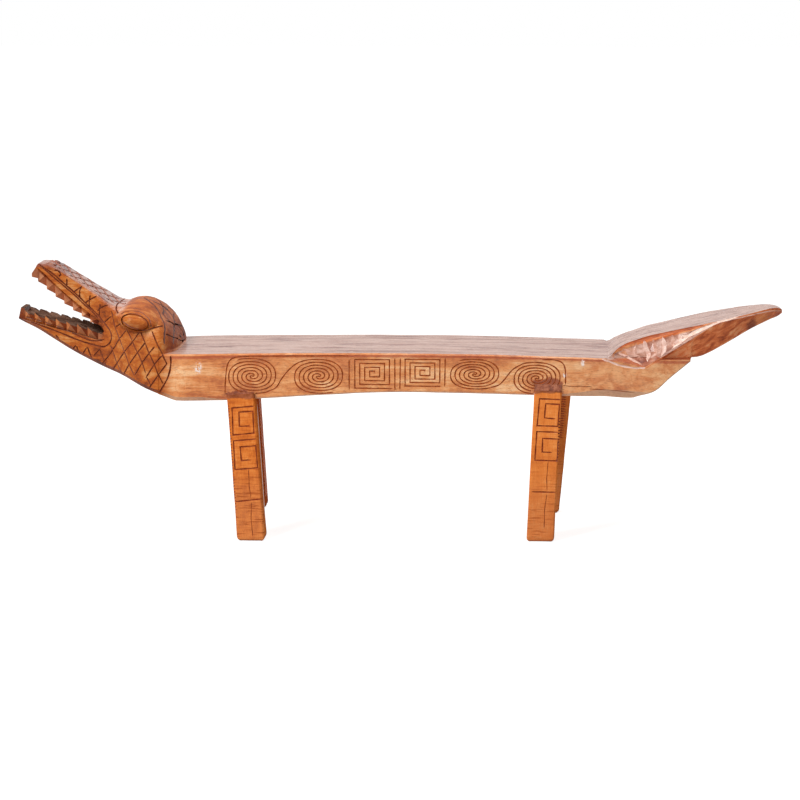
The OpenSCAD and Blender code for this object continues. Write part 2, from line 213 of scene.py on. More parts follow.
def smoothed(line, parts=CURVE_PARTS):
    """A soft curve through the points of a line."""
    points = [Vector(p) for p in line]
    made = []
    for i in range(len(points) - 1):
        a, b = points[i], points[i + 1]
        before = points[i - 1] if i else a * 2 - b
        after = points[i + 2] if i + 2 < len(points) else b * 2 - a
        for j in range(parts):
            t = j / parts
            made.append(0.5 * (2 * a + (b - before) * t + (2 * before - 5 * a + 4 * b - after) * t ** 2
                               + (3 * a - before - 3 * b + after) * t ** 3))
    return made + [points[-1]]


def wood_tree(piece):
    """What rays are sent against."""
    return BVHTree.FromObject(piece, bpy.context.evaluated_depsgraph_get())


def lay(tree, line, aim):
    """Points and normals where a line's rays meet the wood; aim gives each point's ray, in mm."""
    laid = []
    for point in line:
        start, heading = aim(point)
        place, normal, _, _ = tree.ray_cast(start * MM, heading.normalized())
        if place is not None:
            if normal.dot(heading) > 0:
                normal = -normal
            laid.append((place / MM, normal))
    return laid


def both_sides(tree, lines, way, width, depth):
    """Strokes for lines laid on the near side and, mirrored, on the far side."""
    return [(lay(tree, line, way(side)), width, depth) for side in (NEAR, FAR) for line in lines]


print("a drawn line of 20 mm is laid as", len(spaced([(0, 0, 0), (20, 0, 0)])), "points")

# %% [markdown]
# ## Gouges
# A gouge stroke is a small V cut. Its cutter is a three-sided sweep along a laid line: the keel
# lies below the surface, the two upper edges just above it, and it runs out to nothing at its
# ends as a real stroke does. No primitive gives a sweep that follows a carved surface, so the
# cutter's mesh is written point by point, and a Boolean modifier takes it away from the wood. A
# stroke with a depth below zero is turned over instead, and joined to the wood as a ridge.

# %% The gouge's cutter
# Millimetres that the cutter's upper edges stand above the wood
LIFT = 1.2
# The share of its size that a stroke has left at its ends, and how much a hand makes it swell
RUN_OUT, WOBBLE, WOBBLE_PACE = 0.25, 0.18, 0.9
# A stroke wider than this is broad: it lies flat, doesn't swell, and runs out over a few points
BROAD, TAPER = 7.5, 4
# A corner is never thinned to less than this share, which would make its outside a spike
TIGHTEST = 0.45


def corner_share(into, out):
    """How much a corner narrows the line that is swept through it: 1 where it runs straight."""
    if not into.length or not out.length:
        return 1
    return max(TIGHTEST, math.sqrt(max(0.0, (1 + into.normalized().dot(out.normalized())) / 2)))


def sweep(mesh, laid, width, depth):
    """Add one V-shaped cutter along laid points to a bmesh; width may be a (first, last) pair."""
    if len(laid) < 2:
        return
    rings, last = [], len(laid) - 1
    lift = math.copysign(LIFT, depth)
    first_width, last_width = width if isinstance(width, tuple) else (width, width)
    broad = first_width > BROAD
    mean = sum((normal for _, normal in laid), Vector()).normalized()
    for i, (place, normal) in enumerate(laid):
        wide = first_width + (last_width - first_width) * i / last
        normal = mean if broad else normal
        into, out = place - laid[max(i - 1, 0)][0], laid[min(i + 1, last)][0] - place
        along = (into.normalized() + out.normalized()) if into.length and out.length else into + out
        across = along.cross(normal).normalized()
        turn = corner_share(into, out)
        if broad:
            share, swell = min(1, (min(i, last - i) + RUN_OUT) / TAPER), 1
        else:
            share, swell = RUN_OUT if i in (0, last) else 1, 1 + WOBBLE * math.sin(WOBBLE_PACE * i + last)
        half = wide / 2 * share / turn * swell
        deep = depth * share * swell
        rise = lift / depth * wide / 2 / turn
        corners = (place - normal * deep, place + normal * lift + across * (half + rise),
                   place + normal * lift - across * (half + rise))
        rings.append([mesh.verts.new(c * MM) for c in corners])
    for a, b in zip(rings, rings[1:]):
        for j in range(3):
            k = (j + 1) % 3
            mesh.faces.new((a[j], a[k], b[k], b[j]))
    mesh.faces.new(rings[0][::-1])
    mesh.faces.new(rings[-1])


def carve(piece, strokes, finish, label):
    """Cut strokes, none of which crosses another, out of a piece, or join ridges to it."""
    mesh = bmesh.new()
    for laid, width, depth in strokes:
        sweep(mesh, laid, width, depth)
    bmesh.ops.recalc_face_normals(mesh, faces=mesh.faces)
    data = bpy.data.meshes.new(label)
    mesh.to_mesh(data)
    mesh.free()
    data.materials.append(finish)
    cutter = bpy.data.objects.new(label, data)
    bpy.context.scene.collection.objects.link(cutter)
    before = triangles(piece)
    cut = piece.modifiers.new(label, "BOOLEAN")
    cut.operation = "DIFFERENCE" if strokes[0][2] > 0 else "UNION"
    cut.solver = "MANIFOLD"
    cut.material_mode = "TRANSFER"
    cut.object = cutter
    apply(piece, cut)
    bpy.data.objects.remove(cutter)
    print(f"{label}: {len(strokes)} strokes, {before} to {triangles(piece)} triangles")

# %% [markdown]
# ## Colours and wood finishes
# The log is one reddish hardwood. Its sides are varnished and tan, its head is stained deeper, and
# its top was sat on until the varnish wore off and dust filled the open grain. One picture painted
# over the log could show that, but it would blur close up and fit one shape only. So each finish
# is worked out from the place itself. Noise stretched along the grain gives fibre and streaks,
# slower noise gives patches, and masks made from where a point lies and which way it faces tell
# the sides, the head, the worn top and the mouth apart. The sums are written on a small class
# that holds a socket, because long chains of nodes written one by one are hard to follow.

# %% Tones, and sums on sockets
def tone(red, green, blue):
    """A colour as the eye reads it, 0 to 255, as Blender's linear colour."""
    return tuple(((c / 255 + 0.055) / 1.055) ** 2.4 if c > 10 else c / 255 / 12.92
                 for c in (red, green, blue)) + (1,)


class Wire:
    """The output of a shader node. Sums written on it add Math nodes."""

    def __init__(self, tree, socket=None):
        self.tree, self.socket = tree, socket

    def node(self, kind, settings=(), sockets=(), output=0):
        """Add a node, set it up, feed its sockets, and give back one of its outputs."""
        made = self.tree.nodes.new(kind)
        for name, value in dict(settings).items():
            if name == "stops":
                stops = made.color_ramp.elements
                while len(stops) < len(value):
                    stops.new(0.5)
                for stop, (place, colour) in zip(stops, value):
                    stop.position, stop.color = place, colour
            else:
                setattr(made, name, value)
        for name, value in dict(sockets).items():
            if isinstance(value, Wire):
                self.tree.links.new(value.socket, made.inputs[name])
            else:
                made.inputs[name].default_value = value
        return Wire(self.tree, made.outputs[output] if len(made.outputs) else None)

    def feed(self, shader, name):
        """Lead this into a socket of a shader."""
        self.tree.links.new(self.socket, shader.inputs[name])

    def maths(self, operation, a, b=0.0):
        """A Math node on two values."""
        return self.node("ShaderNodeMath", {"operation": operation}, {0: a, 1: b})

    def __add__(self, other):
        return self.maths("ADD", self, other)

    __radd__ = __add__

    def __mul__(self, other):
        return self.maths("MULTIPLY", self, other)

    __rmul__ = __mul__

    def __sub__(self, other):
        return self.maths("SUBTRACT", self, other)

    def __rsub__(self, other):
        return self.maths("SUBTRACT", other, self)

    def __rtruediv__(self, other):
        return self.maths("DIVIDE", other, self)

    def larger(self, other):
        """This or the other, whichever is larger."""
        return self.maths("MAXIMUM", self, other)

    def smaller(self, other):
        """This or the other, whichever is smaller."""
        return self.maths("MINIMUM", self, other)

    def band(self, low, high):
        """0 below low, 1 above high, and a smooth rise between."""
        return self.node("ShaderNodeMapRange", {"interpolation_type": "SMOOTHSTEP"},
                         {"Value": self, "From Min": low, "From Max": high})

    def blend(self, mask, colour):
        """This colour, turned to another one where the mask is 1."""
        return self.node("ShaderNodeMix", {"data_type": "RGBA"}, {0: mask, 6: self, 7: colour}, 2)

    def times(self, mask, colour):
        """This colour multiplied by another one where the mask is 1."""
        return self.node("ShaderNodeMix", {"data_type": "RGBA", "blend_type": "MULTIPLY"},
                         {0: mask, 6: self, 7: colour}, 2)


print("a tan tone in linear colour:", [round(c, 3) for c in tone(211, 127, 65)])

# %% [markdown]
# ## Varnish and dull wood
# Every finish is a Principled shader with a colour, a roughness and a small relief. Varnish is a
# thin clear coat over it, the same all over. The rough inside of the mouth has no shine at all,
# and turning its roughness up isn't enough, because even a rough surface goes white at a glancing
# angle. So a second shader without reflection is mixed in where a mask says so.

# %% A material, its varnish and its dull places
COAT_IOR, WOOD_IOR, WOOD_SPECULAR, DULL_ROUGH = 1.34, 1.45, 0.3, 0.9


def new_material(name):
    """An empty node material, the wire that its sums start from, and its shader."""
    material = bpy.data.materials.new(name)
    material.use_nodes = True
    tree = material.node_tree
    tree.nodes.clear()
    shader = tree.nodes.new("ShaderNodeBsdfPrincipled")
    last = tree.nodes.new("ShaderNodeOutputMaterial")
    tree.links.new(shader.outputs[0], last.inputs["Surface"])
    return material, Wire(tree), shader


def show(shade):
    """Make this shade the one that its material shows."""
    last = next(node for node in shade.tree.nodes if node.type == "OUTPUT_MATERIAL")
    shade.feed(last, "Surface")


def varnish(shader, weight, rough):
    """The clear coat, the same all over."""
    shader.inputs["Coat Weight"].default_value = weight
    shader.inputs["Coat Roughness"].default_value = rough
    shader.inputs["Coat IOR"].default_value = COAT_IOR
    shader.inputs["Specular IOR Level"].default_value = WOOD_SPECULAR
    shader.inputs["IOR"].default_value = WOOD_IOR


def surface(start, shader, colour, rough, height, strength, distance):
    """Feed the colour, the roughness and the relief of a finish to its shader."""
    colour.feed(shader, "Base Color")
    rough.feed(shader, "Roughness")
    relief = {"Strength": strength, "Distance": distance, "Height": height}
    start.node("ShaderNodeBump", {}, relief).feed(shader, "Normal")


def matt_where(start, shader, colour, mask):
    """Let the surface turn dull, with no reflection, where the mask is 1."""
    dull = start.tree.nodes.new("ShaderNodeBsdfPrincipled")
    dull.inputs["Roughness"].default_value = DULL_ROUGH
    dull.inputs["Specular IOR Level"].default_value = 0
    colour.feed(dull, "Base Color")
    shades = [Wire(start.tree, node.outputs[0]) for node in (shader, dull)]
    show(start.node("ShaderNodeMixShader", {}, {0: mask, 1: shades[0], 2: shades[1]}))


print("materials that came with the frame:", len(bpy.data.materials))

# %% [markdown]
# ## Grain
# Wood shows fibre, slow streaks, patches, small blotches and open pores. A picture of a plank
# would give them all at once, but each finish needs its own mix of them. So each is a noise, and
# the place that it reads is scaled down along the grain, which draws its spots out into lines.

# %% Noise, places and the figure of a plank
# Scale, detail, roughness and warp of each noise, and how far it is drawn out along the grain
FIBRE, STREAK, PATCH = (26, 6, 0.7, 0.3), (8, 3, 0.55, 0.9), (9, 3, 0.55, 0.6)
BLOTCH, PORE = (42, 4, 0.6, 0.4), (70, 2, 0.5)
STREAK_PULL, PORE_PULL = 0.35, 1.6
ALONG_LOG, ALONG_LEG = (1, 15, 15), (15, 15, 1)


def noise(start, place, scale, detail=4, rough=0.55, warp=0.0):
    """A cloud of values from 0 to 1 at a scale."""
    look = {"Vector": place, "Scale": scale, "Detail": detail, "Roughness": rough, "Distortion": warp}
    return start.node("ShaderNodeTexNoise", {"noise_dimensions": "3D"}, look)


def stretched(start, place, scale):
    """A place with each of its directions scaled."""
    return start.node("ShaderNodeMapping", {"vector_type": "POINT"}, {"Vector": place, "Scale": scale})


def wood_figure(start, place, long):
    """Fibre, slow streaks, patches, blotches and pores of a plank, as five masks from 0 to 1."""
    fibre = noise(start, stretched(start, place, long), *FIBRE)
    streak = noise(start, stretched(start, place, tuple(1 + (s - 1) * STREAK_PULL for s in long)), *STREAK)
    patch = noise(start, place, *PATCH)
    blotch = noise(start, place, *BLOTCH)
    pore = noise(start, stretched(start, place, tuple(s * PORE_PULL for s in long)), *PORE)
    return fibre, streak, patch, blotch, pore


def parts_of(start, vector):
    """The X, Y and Z of a place or a direction."""
    return [start.node("ShaderNodeSeparateXYZ", {}, {0: vector}, axis) for axis in "XYZ"]


def near_to(start, place, spot, scale=(1, 1, 1)):
    """How far a place is from a spot given in millimetres, in metres, with its directions scaled."""
    centre = [s * k * MM for s, k in zip(spot, scale)]
    return start.node("ShaderNodeVectorMath", {"operation": "DISTANCE"},
                      {0: stretched(start, place, scale), 1: centre}, "Value")


def ramp(start, depth, *stops):
    """A colour ramp from (place, (red, green, blue)) stops."""
    return start.node("ShaderNodeValToRGB", {"stops": [(at, tone(*colour)) for at, colour in stops]},
                      {"Fac": depth})


print("the log's fibre is", ALONG_LOG[1] // ALONG_LOG[0], "times as long as it is wide")

# %% [markdown]
# ## The log's sides
# Now the log's own finish, laid on in steps from the plain wood to the dust. The sides are tan with
# darker grain. They are lighter where they were carved and towards the tail, and ruddier below
# the upper edge. Each step takes the colour so far and turns it towards a tone through a mask.
# Masks compare places in metres.

# %% Tan sides
SIDE_TONES = (0.1, (172, 86, 36)), (0.4, (211, 127, 65)), (0.62, (226, 153, 94)), (0.92, (244, 194, 144))
# About one over the seat's length on either side of its crown, so that run is near 1 at its ends
ARCH = 2.1
body_wood, start, shader = new_material("body_wood")
place = start.node("ShaderNodeTexCoord", {}, {}, "Object")
fibre, streak, patch, blotch, pore = wood_figure(start, place, ALONG_LOG)
x, y, z = parts_of(start, place)
along, across, up = parts_of(start, start.node("ShaderNodeTexCoord", {}, {}, "Normal"))
figure = (fibre * 0.4 + streak * 0.6).band(0.38, 0.62)
grain = figure * 0.45 + patch.band(0.34, 0.66) * 0.35 + blotch.band(0.34, 0.66) * 0.2
colour = ramp(start, grain, *SIDE_TONES)
carved = x.band(-0.38, -0.36) * (1 - x.band(0.37, 0.39))
colour = colour.blend(carved * 0.12, tone(250, 184, 124))
colour = colour.blend(x.band(0.2, 0.5) * (blotch.band(0.35, 0.65) * 0.35 + 0.25), tone(238, 178, 126))
stain = x.band(0.38, 0.46) * noise(start, place, 24, 5, 0.7, 0.8).band(0.46, 0.6)
colour = colour.times(stain * 0.6, tone(228, 184, 146))
run = (x - CROWN * MM) * ARCH
fall = SEAT_TOP * MM - SEAT_FALL * MM * run * run - z
ruddy = (1 - (fall + (patch - 0.5) * 0.07).band(0.008, 0.03)) * streak.band(0.4, 0.6)
colour = colour.times(ruddy * 0.6, tone(214, 160, 118))
print("the sides take", len(start.tree.nodes), "nodes")

# %% [markdown]
# ## The head's stain
# The head was stained deeper than the seat, and the stain stops in a soft edge at the collar. The teeth took
# it thinly, and the upper teeth, which hang in shade, are painted paler still, as painted light. Faces that
# look down under the jaw line, faces in the front of the head that look back towards the tail, and the tips
# of the jaws are painted darker, as painted shade.
# A place on the head is given by how far ahead of the collar and how high above the seat's end it
# lies, as in a drawing of its side. The jaws part along a slope, and each lip is one of its own.

# %% Stain on the head and the teeth, with painted light and shade on the jaws
HEAD_TONES = (0.1, (112, 50, 18)), (0.4, (168, 82, 27)), (0.65, (190, 105, 38)), (0.92, (208, 142, 84))
ahead, above = COLLAR * MM - x, z - SEAT_END * MM
head = 1 - x.band((COLLAR - 25) * MM, (COLLAR + 12) * MM)
head = head.larger((1 - x.band((COLLAR + 22) * MM, (COLLAR + 34) * MM)) * above.band(0.003, 0.008))
colour = colour.blend(head, ramp(start, grain, *HEAD_TONES))
middle = ahead * 0.5 - above - 0.036
lower_jaw, upper_jaw = middle.band(-0.002, 0.002), 1 - middle.band(-0.002, 0.002)
# Faces that look down under the jaw line are painted darker here: painted shade.
colour = colour.times((0 - up).band(0.1, 0.6) * head * lower_jaw * 0.7, tone(176, 140, 120))
upper_lip, lower_lip = ahead * 0.892 - 0.1 - above, above - ahead * 0.342 + 0.0455
teeth = ahead.band(0.158, 0.166) * upper_lip.smaller(lower_lip).band(0.001, 0.004)
hanging = teeth * upper_jaw
# The teeth are paler; the upper teeth, hanging in shade, are painted paler still: painted light.
colour = colour.blend(teeth * 0.45, tone(204, 134, 92)).blend(hanging * 0.7, tone(250, 186, 140))
# Faces in the front of the head that look back towards the tail are painted darker: painted shade.
colour = colour.times(ahead.band(0.12, 0.135) * along.band(0.1, 0.4) * 0.85, tone(160, 110, 84))
# The front tips of the jaws are painted darker: painted shade.
tips = hanging * ahead.band(0.299, 0.305) + ahead.band(0.333, 0.34)
colour = colour.times(tips * 0.9, tone(156, 120, 102))
print("with the head and the teeth:", len(start.tree.nodes), "nodes")

# %% [markdown]
# ## Eye, snout and the back of the head
# The eye is a little deeper in tone. The top of the snout has lost some stain and looks pinkish, partly as a
# painted sheen on its top. The back of the head is painted darker, as painted shade, and is duller. Both
# eyes come from one spot, because the place is first folded on to one side. The back of the head is bounded
# by a curve that leans forward as it rises, which is a square of the height above the brow's foot.

# %% Eye, snout with a painted sheen, and nape in painted shade
EYE_SPOT = (-COLLAR + 75, HALF_WIDTH - 14, SEAT_END + 49)
folded = start.node("ShaderNodeVectorMath", {"operation": "ABSOLUTE"}, {0: place})
colour = colour.times((1 - near_to(start, folded, EYE_SPOT).band(0.024, 0.031)) * 0.8, tone(220, 196, 180))
snout = ahead.band(0.095, 0.115) * up.band(0.45, 0.7)
# The snout's top turns pinkish: worn stain, and partly a painted sheen.
colour = colour.blend(snout * blotch.band(0.35, 0.6) * 0.55, tone(206, 160, 140))
rise = (above - 0.065).larger(0.0)
nape = (rise * rise * 23 + 0.01 - ahead + (patch - 0.5) * 0.01).band(-0.006, 0.006)
# The back of the head is painted darker here: painted shade.
shade = nape * above.band(-0.004, 0.008) * head.band(0.05, 0.4)
colour = colour.times(shade * 0.95, tone(200, 182, 188))
print("with the eye, the snout and the nape:", len(start.tree.nodes), "nodes")

# %% [markdown]
# ## Inside the mouth
# Inside the mouth the wood was left rough, and the shade that fills the mouth is painted on it as a nearly
# black tone. No line can be drawn round it, because its walls, floor and roof meet the teeth at all angles.
# So the mask asks which way a face looks: towards the bench's middle plane, or up from the lower jaw, or
# down from the upper.

# %% The painted shade of the mouth
MOUTH_SHADE_TONES = (0.3, (66, 45, 36)), (0.7, (156, 124, 106))
inward = (0 - y.maths("SIGN", y) * across).band(0.2, 0.5)
floor_side = lower_jaw * up.band(0.6, 0.8)
roof_side = upper_jaw * (0 - up).band(0.7, 0.9)
gap = (1 - middle.band(0.06, 0.08)) * middle.band(-0.08, -0.06)
inside = ahead.band(0.128, 0.14) * gap * inward.larger(floor_side.larger(roof_side))
# The mouth is painted nearly black: painted shade.
colour = colour.blend(inside * 0.92, ramp(start, blotch, *MOUTH_SHADE_TONES))
print("with the mouth:", len(start.tree.nodes), "nodes")

# %% [markdown]
# ## The paddle's side
# The side of the tail's paddle is red-brown, with streaks that run up along it, a knot, and a
# lighter glow before its tip. The grain was stretched level for the log, so here a Mapping node
# turns the place by the paddle's own slope before it is stretched.

# %% The paddle
PADDLE_TONES = (0.08, (152, 68, 40)), (0.36, (208, 106, 60)), (0.6, (232, 132, 80)), (0.9, (246, 176, 126))
PADDLE_SLOPE = math.radians(20)
KNOT, GLOW = (ROOT + 322, 0, SEAT_END + 60), (ROOT + 346, 0, SEAT_END + 70)
slanted = start.node("ShaderNodeMapping", {}, {"Vector": place, "Rotation": (0, PADDLE_SLOPE, 0)})
lie = noise(start, stretched(start, slanted, (1, 9, 9)), 9, 4, 0.6, 0.4)
dark = ramp(start, lie.band(0.34, 0.68) * 0.65 + patch.band(0.3, 0.7) * 0.2 + blotch.band(0.3, 0.7) * 0.15,
            *PADDLE_TONES)
knot = 1 - (near_to(start, place, KNOT, (1, 0, 0.7)) + (blotch - 0.5) * 0.02).band(0.006, 0.016)
glow = 1 - near_to(start, place, GLOW, (1, 0, 1)).band(0.008, 0.03)
dark = dark.blend(glow * 0.45, tone(226, 138, 72)).times(knot * 0.75, tone(120, 78, 62))
paddle = x.band((ROOT + 66) * MM, (ROOT + 84) * MM) * z.band(0.4022, 0.4034) * (1 - up.band(0.12, 0.3))
colour = colour.blend(paddle * 0.95, dark)
print("with the paddle:", len(start.tree.nodes), "nodes")

# %% [markdown]
# ## The scoop
# Beside the tail's root the wood was scooped out, and it shows pinkish under its varnish. The
# scoop's outline is known as the viewer sees it, drawn on the bench's middle plane. The wood lies
# in front of that plane, so each place is first sent back along the viewer's line of sight.

# %% The scoop's hollow
HOLLOW_TONES = (0.1, (132, 70, 48)), (0.4, (174, 118, 96)), (0.62, (194, 148, 130)), (0.9, (228, 192, 178))
off = y.maths("ABSOLUTE", y)
closer = EYE.y / (off + EYE.y)
behind = (x - EYE.x) * closer + (EYE.x - ROOT * MM)
over = (z - EYE.z) * closer + (EYE.z - SEAT_END * MM)
roof = (behind * 0.5 - 0.0225).smaller(behind * 0.27 - 0.0082)
base = (behind * -0.44 - 0.001).larger(behind * 0.6 - 0.0956)
length = behind.band(0.02, 0.07) * (1 - behind.band(0.19, 0.2))
scoop = (roof - over).band(0.0, 0.004) * (over - base).band(0.0, 0.003) * length
hollow = ramp(start, lie.band(0.3, 0.7) * 0.35 + blotch.band(0.3, 0.7) * 0.65, *HOLLOW_TONES)
colour = colour.blend(scoop * 0.95, hollow)
print("with the scoop:", len(start.tree.nodes), "nodes")

# %% [markdown]
# ## The worn top
# The seat's top was sat on until the varnish wore off and dust filled the open grain, so it is greyer, with
# dark open grain and redder marks, and part of that grey is a painted sheen. The mask takes what faces up,
# except the head, the scoop and the notch behind it. At the tail's root the top turns up slowly, so there
# the mask leans back to take in the slope.

# %% Grey where it was sat on, partly a painted sheen
WORN_AND_SHEEN_TONES = (0.3, (128, 84, 68)), (0.5, (182, 142, 126)), (0.7, (202, 168, 154))
# The seat's edge rounds over between these two heights
EDGE_LOW, EDGE_HIGH = 0.3975, 0.4015
mark = noise(start, stretched(start, place, (0.5, 8, 8)), 8, 5, 0.66, 0.5)
thin = noise(start, stretched(start, place, (1, 11, 11)), 6, 4, 0.7, 0.6)
grey = ramp(start, fibre * 0.4 + streak * 0.4 + blotch * 0.2, *WORN_AND_SHEEN_TONES)
grey = grey.times(mark.band(0.52, 0.64) * 0.8, tone(168, 136, 134))
grey = grey.times(thin.band(0.55, 0.62) * 0.9, tone(164, 104, 88))
notch = (1 - z.band(0.4033, 0.4045)) * x.band((ROOT + 106) * MM, (ROOT + 116) * MM) * up.band(0.3, 0.6)
lean = x.band((ROOT - 30) * MM, (ROOT - 10) * MM) * (1 - scoop) * (1 - off.band(0.132, 0.14))
worn = (up + lean * 0.25).band(0.72, 0.9) * (1 - head) * z.band(EDGE_LOW, EDGE_HIGH) * (1 - notch)
# The top turns grey: dust and wear, and partly a painted sheen.
colour = colour.blend(worn, grey)
ledge = up.band(0.4, 0.7) * (1 - z.band(EDGE_LOW, EDGE_HIGH)) * x.band((ROOT - 12) * MM, ROOT * MM)
colour = colour.times(ledge * 0.8, tone(206, 150, 112)).blend(notch, tone(150, 72, 40))
print("with the worn top:", len(start.tree.nodes), "nodes")

# %% [markdown]
# ## Edges, filler and painted glints
# Stain gathers in a reddish line along the upper edge, and the lower edge is duller. Filler was smeared on
# the log round the top of each leg, and a few white spots are painted glints, where the varnish catches the
# light. Smears and glints are spots with a ragged rim: the distance to the spot, roughened by a noise.

# %% Edges, smears, painted glints and pores
# Smears of filler, and white spots painted as glints, as (x, y, z, reach), in millimetres
SMEARS = [(-336, -150, 314, 25), (-366, 150, 322, 28), (338, -150, 344, 31), (354, 150, 344, 30)]
GLINT_SPOTS = [(-430, -152, 374, 15), (372, -152, 366, 7), (411, -152, 393, 8), (-626, -140, 401, 5)]
SMEAR_SOFT = 5
rim = fall + (fibre - 0.5) * 0.004
edge = rim.band(0.0015, 0.003) * (1 - rim.band(0.006, 0.011)) * (1 - up.band(0.3, 0.6)) * (1 - head)
colour = colour.times(edge * 0.7, tone(196, 110, 66))
strip = (0 - up).band(0.12, 0.4) * (1 - head) * (1 - z.band(EDGE_LOW, EDGE_HIGH))
colour = colour.blend(strip * 0.6, tone(206, 168, 138))
for *spot, reach in SMEARS:
    ragged = near_to(start, place, spot, (1, 1, 2.2)) + (blotch - 0.5) * 0.05
    smear = 1 - ragged.band((reach - SMEAR_SOFT) * MM, (reach + SMEAR_SOFT) * MM)
    colour = colour.times(smear * 0.85, tone(160, 104, 84))
speck = noise(start, stretched(start, place, (1.6, 1, 1)), 190, 2, 0.6)
# White spots painted on the side as glints of light on the varnish: painted highlights.
for *spot, reach in GLINT_SPOTS:
    glint_spot = 1 - near_to(start, place, spot, (1.7, 0.2, 1)).band(reach * 0.5 * MM, reach * 1.2 * MM)
    colour = colour.blend(glint_spot * speck.band(0.46, 0.52) * 0.85, tone(246, 234, 228))
colour = colour.times(pore.band(0.56, 0.68) * 0.5, tone(146, 88, 58))
print("with edges, filler and scuffs:", len(start.tree.nodes), "nodes")

# %% [markdown]
# ## Gloss and relief of the log
# The varnish is thick on the sides and thin or gone where the wood was worn, cut late or left
# rough. One coat would put a white haze on all that lies at a glancing angle. So its weight is
# taken down by the same masks that changed the colour, and never quite to nothing.

# %% Gloss and relief
COAT, COAT_ROUGH, LEAST_COAT = 0.75, 0.16, 0.02
RELIEF, RELIEF_DEPTH = 0.5, 0.0014
rough = patch * 0.2 + fibre * 0.15 + 0.3 + inside * 0.3
height = fibre * 0.6 - pore.band(0.56, 0.72) * 0.6 + blotch * 0.6 - thin.band(0.56, 0.64) * worn
surface(start, shader, colour, rough, height, RELIEF, RELIEF_DEPTH)
varnish(shader, COAT, COAT_ROUGH)
coat = COAT - worn * 0.35 - head * (0.56 - snout * 0.45) - shade * 0.2 - ledge * 0.4
coat = coat - inside * 0.25 - paddle * 0.6 - notch * 0.75
coat = coat - (mark.band(0.5, 0.6) * worn) * 0.2
coat.larger(LEAST_COAT).feed(shader, "Coat Weight")
matt_where(start, shader, colour, inside.larger(head * (1 - snout) * 0.45 + paddle * 0.6))
print("the log's finish takes", len(start.tree.nodes), "nodes")

# %% [markdown]
# ## Finishes for cuts and edges
# A gouge line is darker than the wood round it, because stain and dust settle in it. The pale edges and the
# broad ridges' crests are painted highlights, where light catches them, and a red band under the tail's top
# edge is painted shadow. Each is one narrow band of colour that wanders between two tones, so one recipe
# makes all the edges and another all the grooves. A flat colour would look like a printed line.

# %% Grooves and edges
GROOVE_LIGHTER = 1.35


def plain_finish(name, dark, light, rough, coat):
    """A band of one colour that wanders between a darker and a lighter tone."""
    material, start, shader = new_material(name)
    place = start.node("ShaderNodeTexCoord", {}, {}, "Object")
    lie = noise(start, stretched(start, place, (1, 3, 3)), 60, 4, 0.65, 0.4)
    colour = ramp(start, lie, (0.3, dark), (0.7, light))
    surface(start, shader, colour, lie * 0.2 + rough, lie, 0.4, 0.001)
    varnish(shader, coat, 0.2)
    return material


def groove_finish(name, colour):
    """Stain and dust settled at the bottom of a gouge line."""
    material, start, shader = new_material(name)
    place = start.node("ShaderNodeTexCoord", {}, {}, "Object")
    speck = noise(start, place, 160, 3)
    dark = ramp(start, speck, (0.3, colour), (0.75, [c * GROOVE_LIGHTER for c in colour]))
    surface(start, shader, dark, speck * 0.2 + 0.45, speck, 0.3, 0.0005)
    return material


# The ridges' pale finish paints the highlights on the scoop's broad ridges and on the body's lip.
ridge_wood = plain_finish("ridge_wood", (206, 154, 132), (244, 218, 206), 0.25, 0.8)
soft_ridge = plain_finish("soft_ridge_wood", (172, 112, 88), (222, 180, 162), 0.3, 0.6)
# A pale band that paints the highlight along the tail's lit edge
edge_highlight = plain_finish("edge_highlight", (226, 176, 150), (255, 238, 226), 0.3, 0.7)
# A red band that paints the shadow under the tail's top edge
shadow_band = plain_finish("shadow_band", (150, 66, 28), (206, 108, 56), 0.4, 0.3)
# A pale band that paints a highlight along the front leg's edge
leg_edge_highlight = plain_finish("leg_edge_highlight", (214, 172, 150), (246, 226, 214), 0.5, 0.0)
cut_wood = groove_finish("body_groove", (140, 70, 30))
leg_cut = groove_finish("leg_groove", (128, 56, 22))
hatch_cut = groove_finish("hatch_groove", (158, 84, 48))
head_cut = groove_finish("head_groove", (106, 48, 22))
nape_cut = groove_finish("nape_groove", (76, 36, 28))
snout_cut = groove_finish("snout_groove", (126, 78, 62))
print("materials so far:", len(bpy.data.materials))

# %% [markdown]
# ## The legs' wood and the filler
# The legs are of the same wood, stained a stronger orange. Their grain runs up, and a saw left a ripple
# across it. Dust has dulled them towards the feet, and the flanks were never varnished. The back leg by the
# head stands in the seat's shade, which is painted on it as a darker tone.
# Filler is a dark, lumpy paste, and it runs a little way down over the top of each leg.

# %% Legs and filler
LEG_TONES = (0.08, (172, 80, 26)), (0.4, (206, 109, 40)), (0.66, (222, 131, 60)), (0.93, (236, 164, 98))
PASTE_TONES = (0.35, (112, 56, 36)), (0.65, (164, 96, 68))
FILLER_TONES = (0.3, (84, 38, 24)), (0.5, (142, 78, 52)), (0.7, (184, 120, 90))
# How high the paste's lower edge lies on the head's legs, and how much higher on the tail's
PASTE_EDGE, PASTE_STEP = 0.3085, 0.0175
LEG_COAT = 0.25


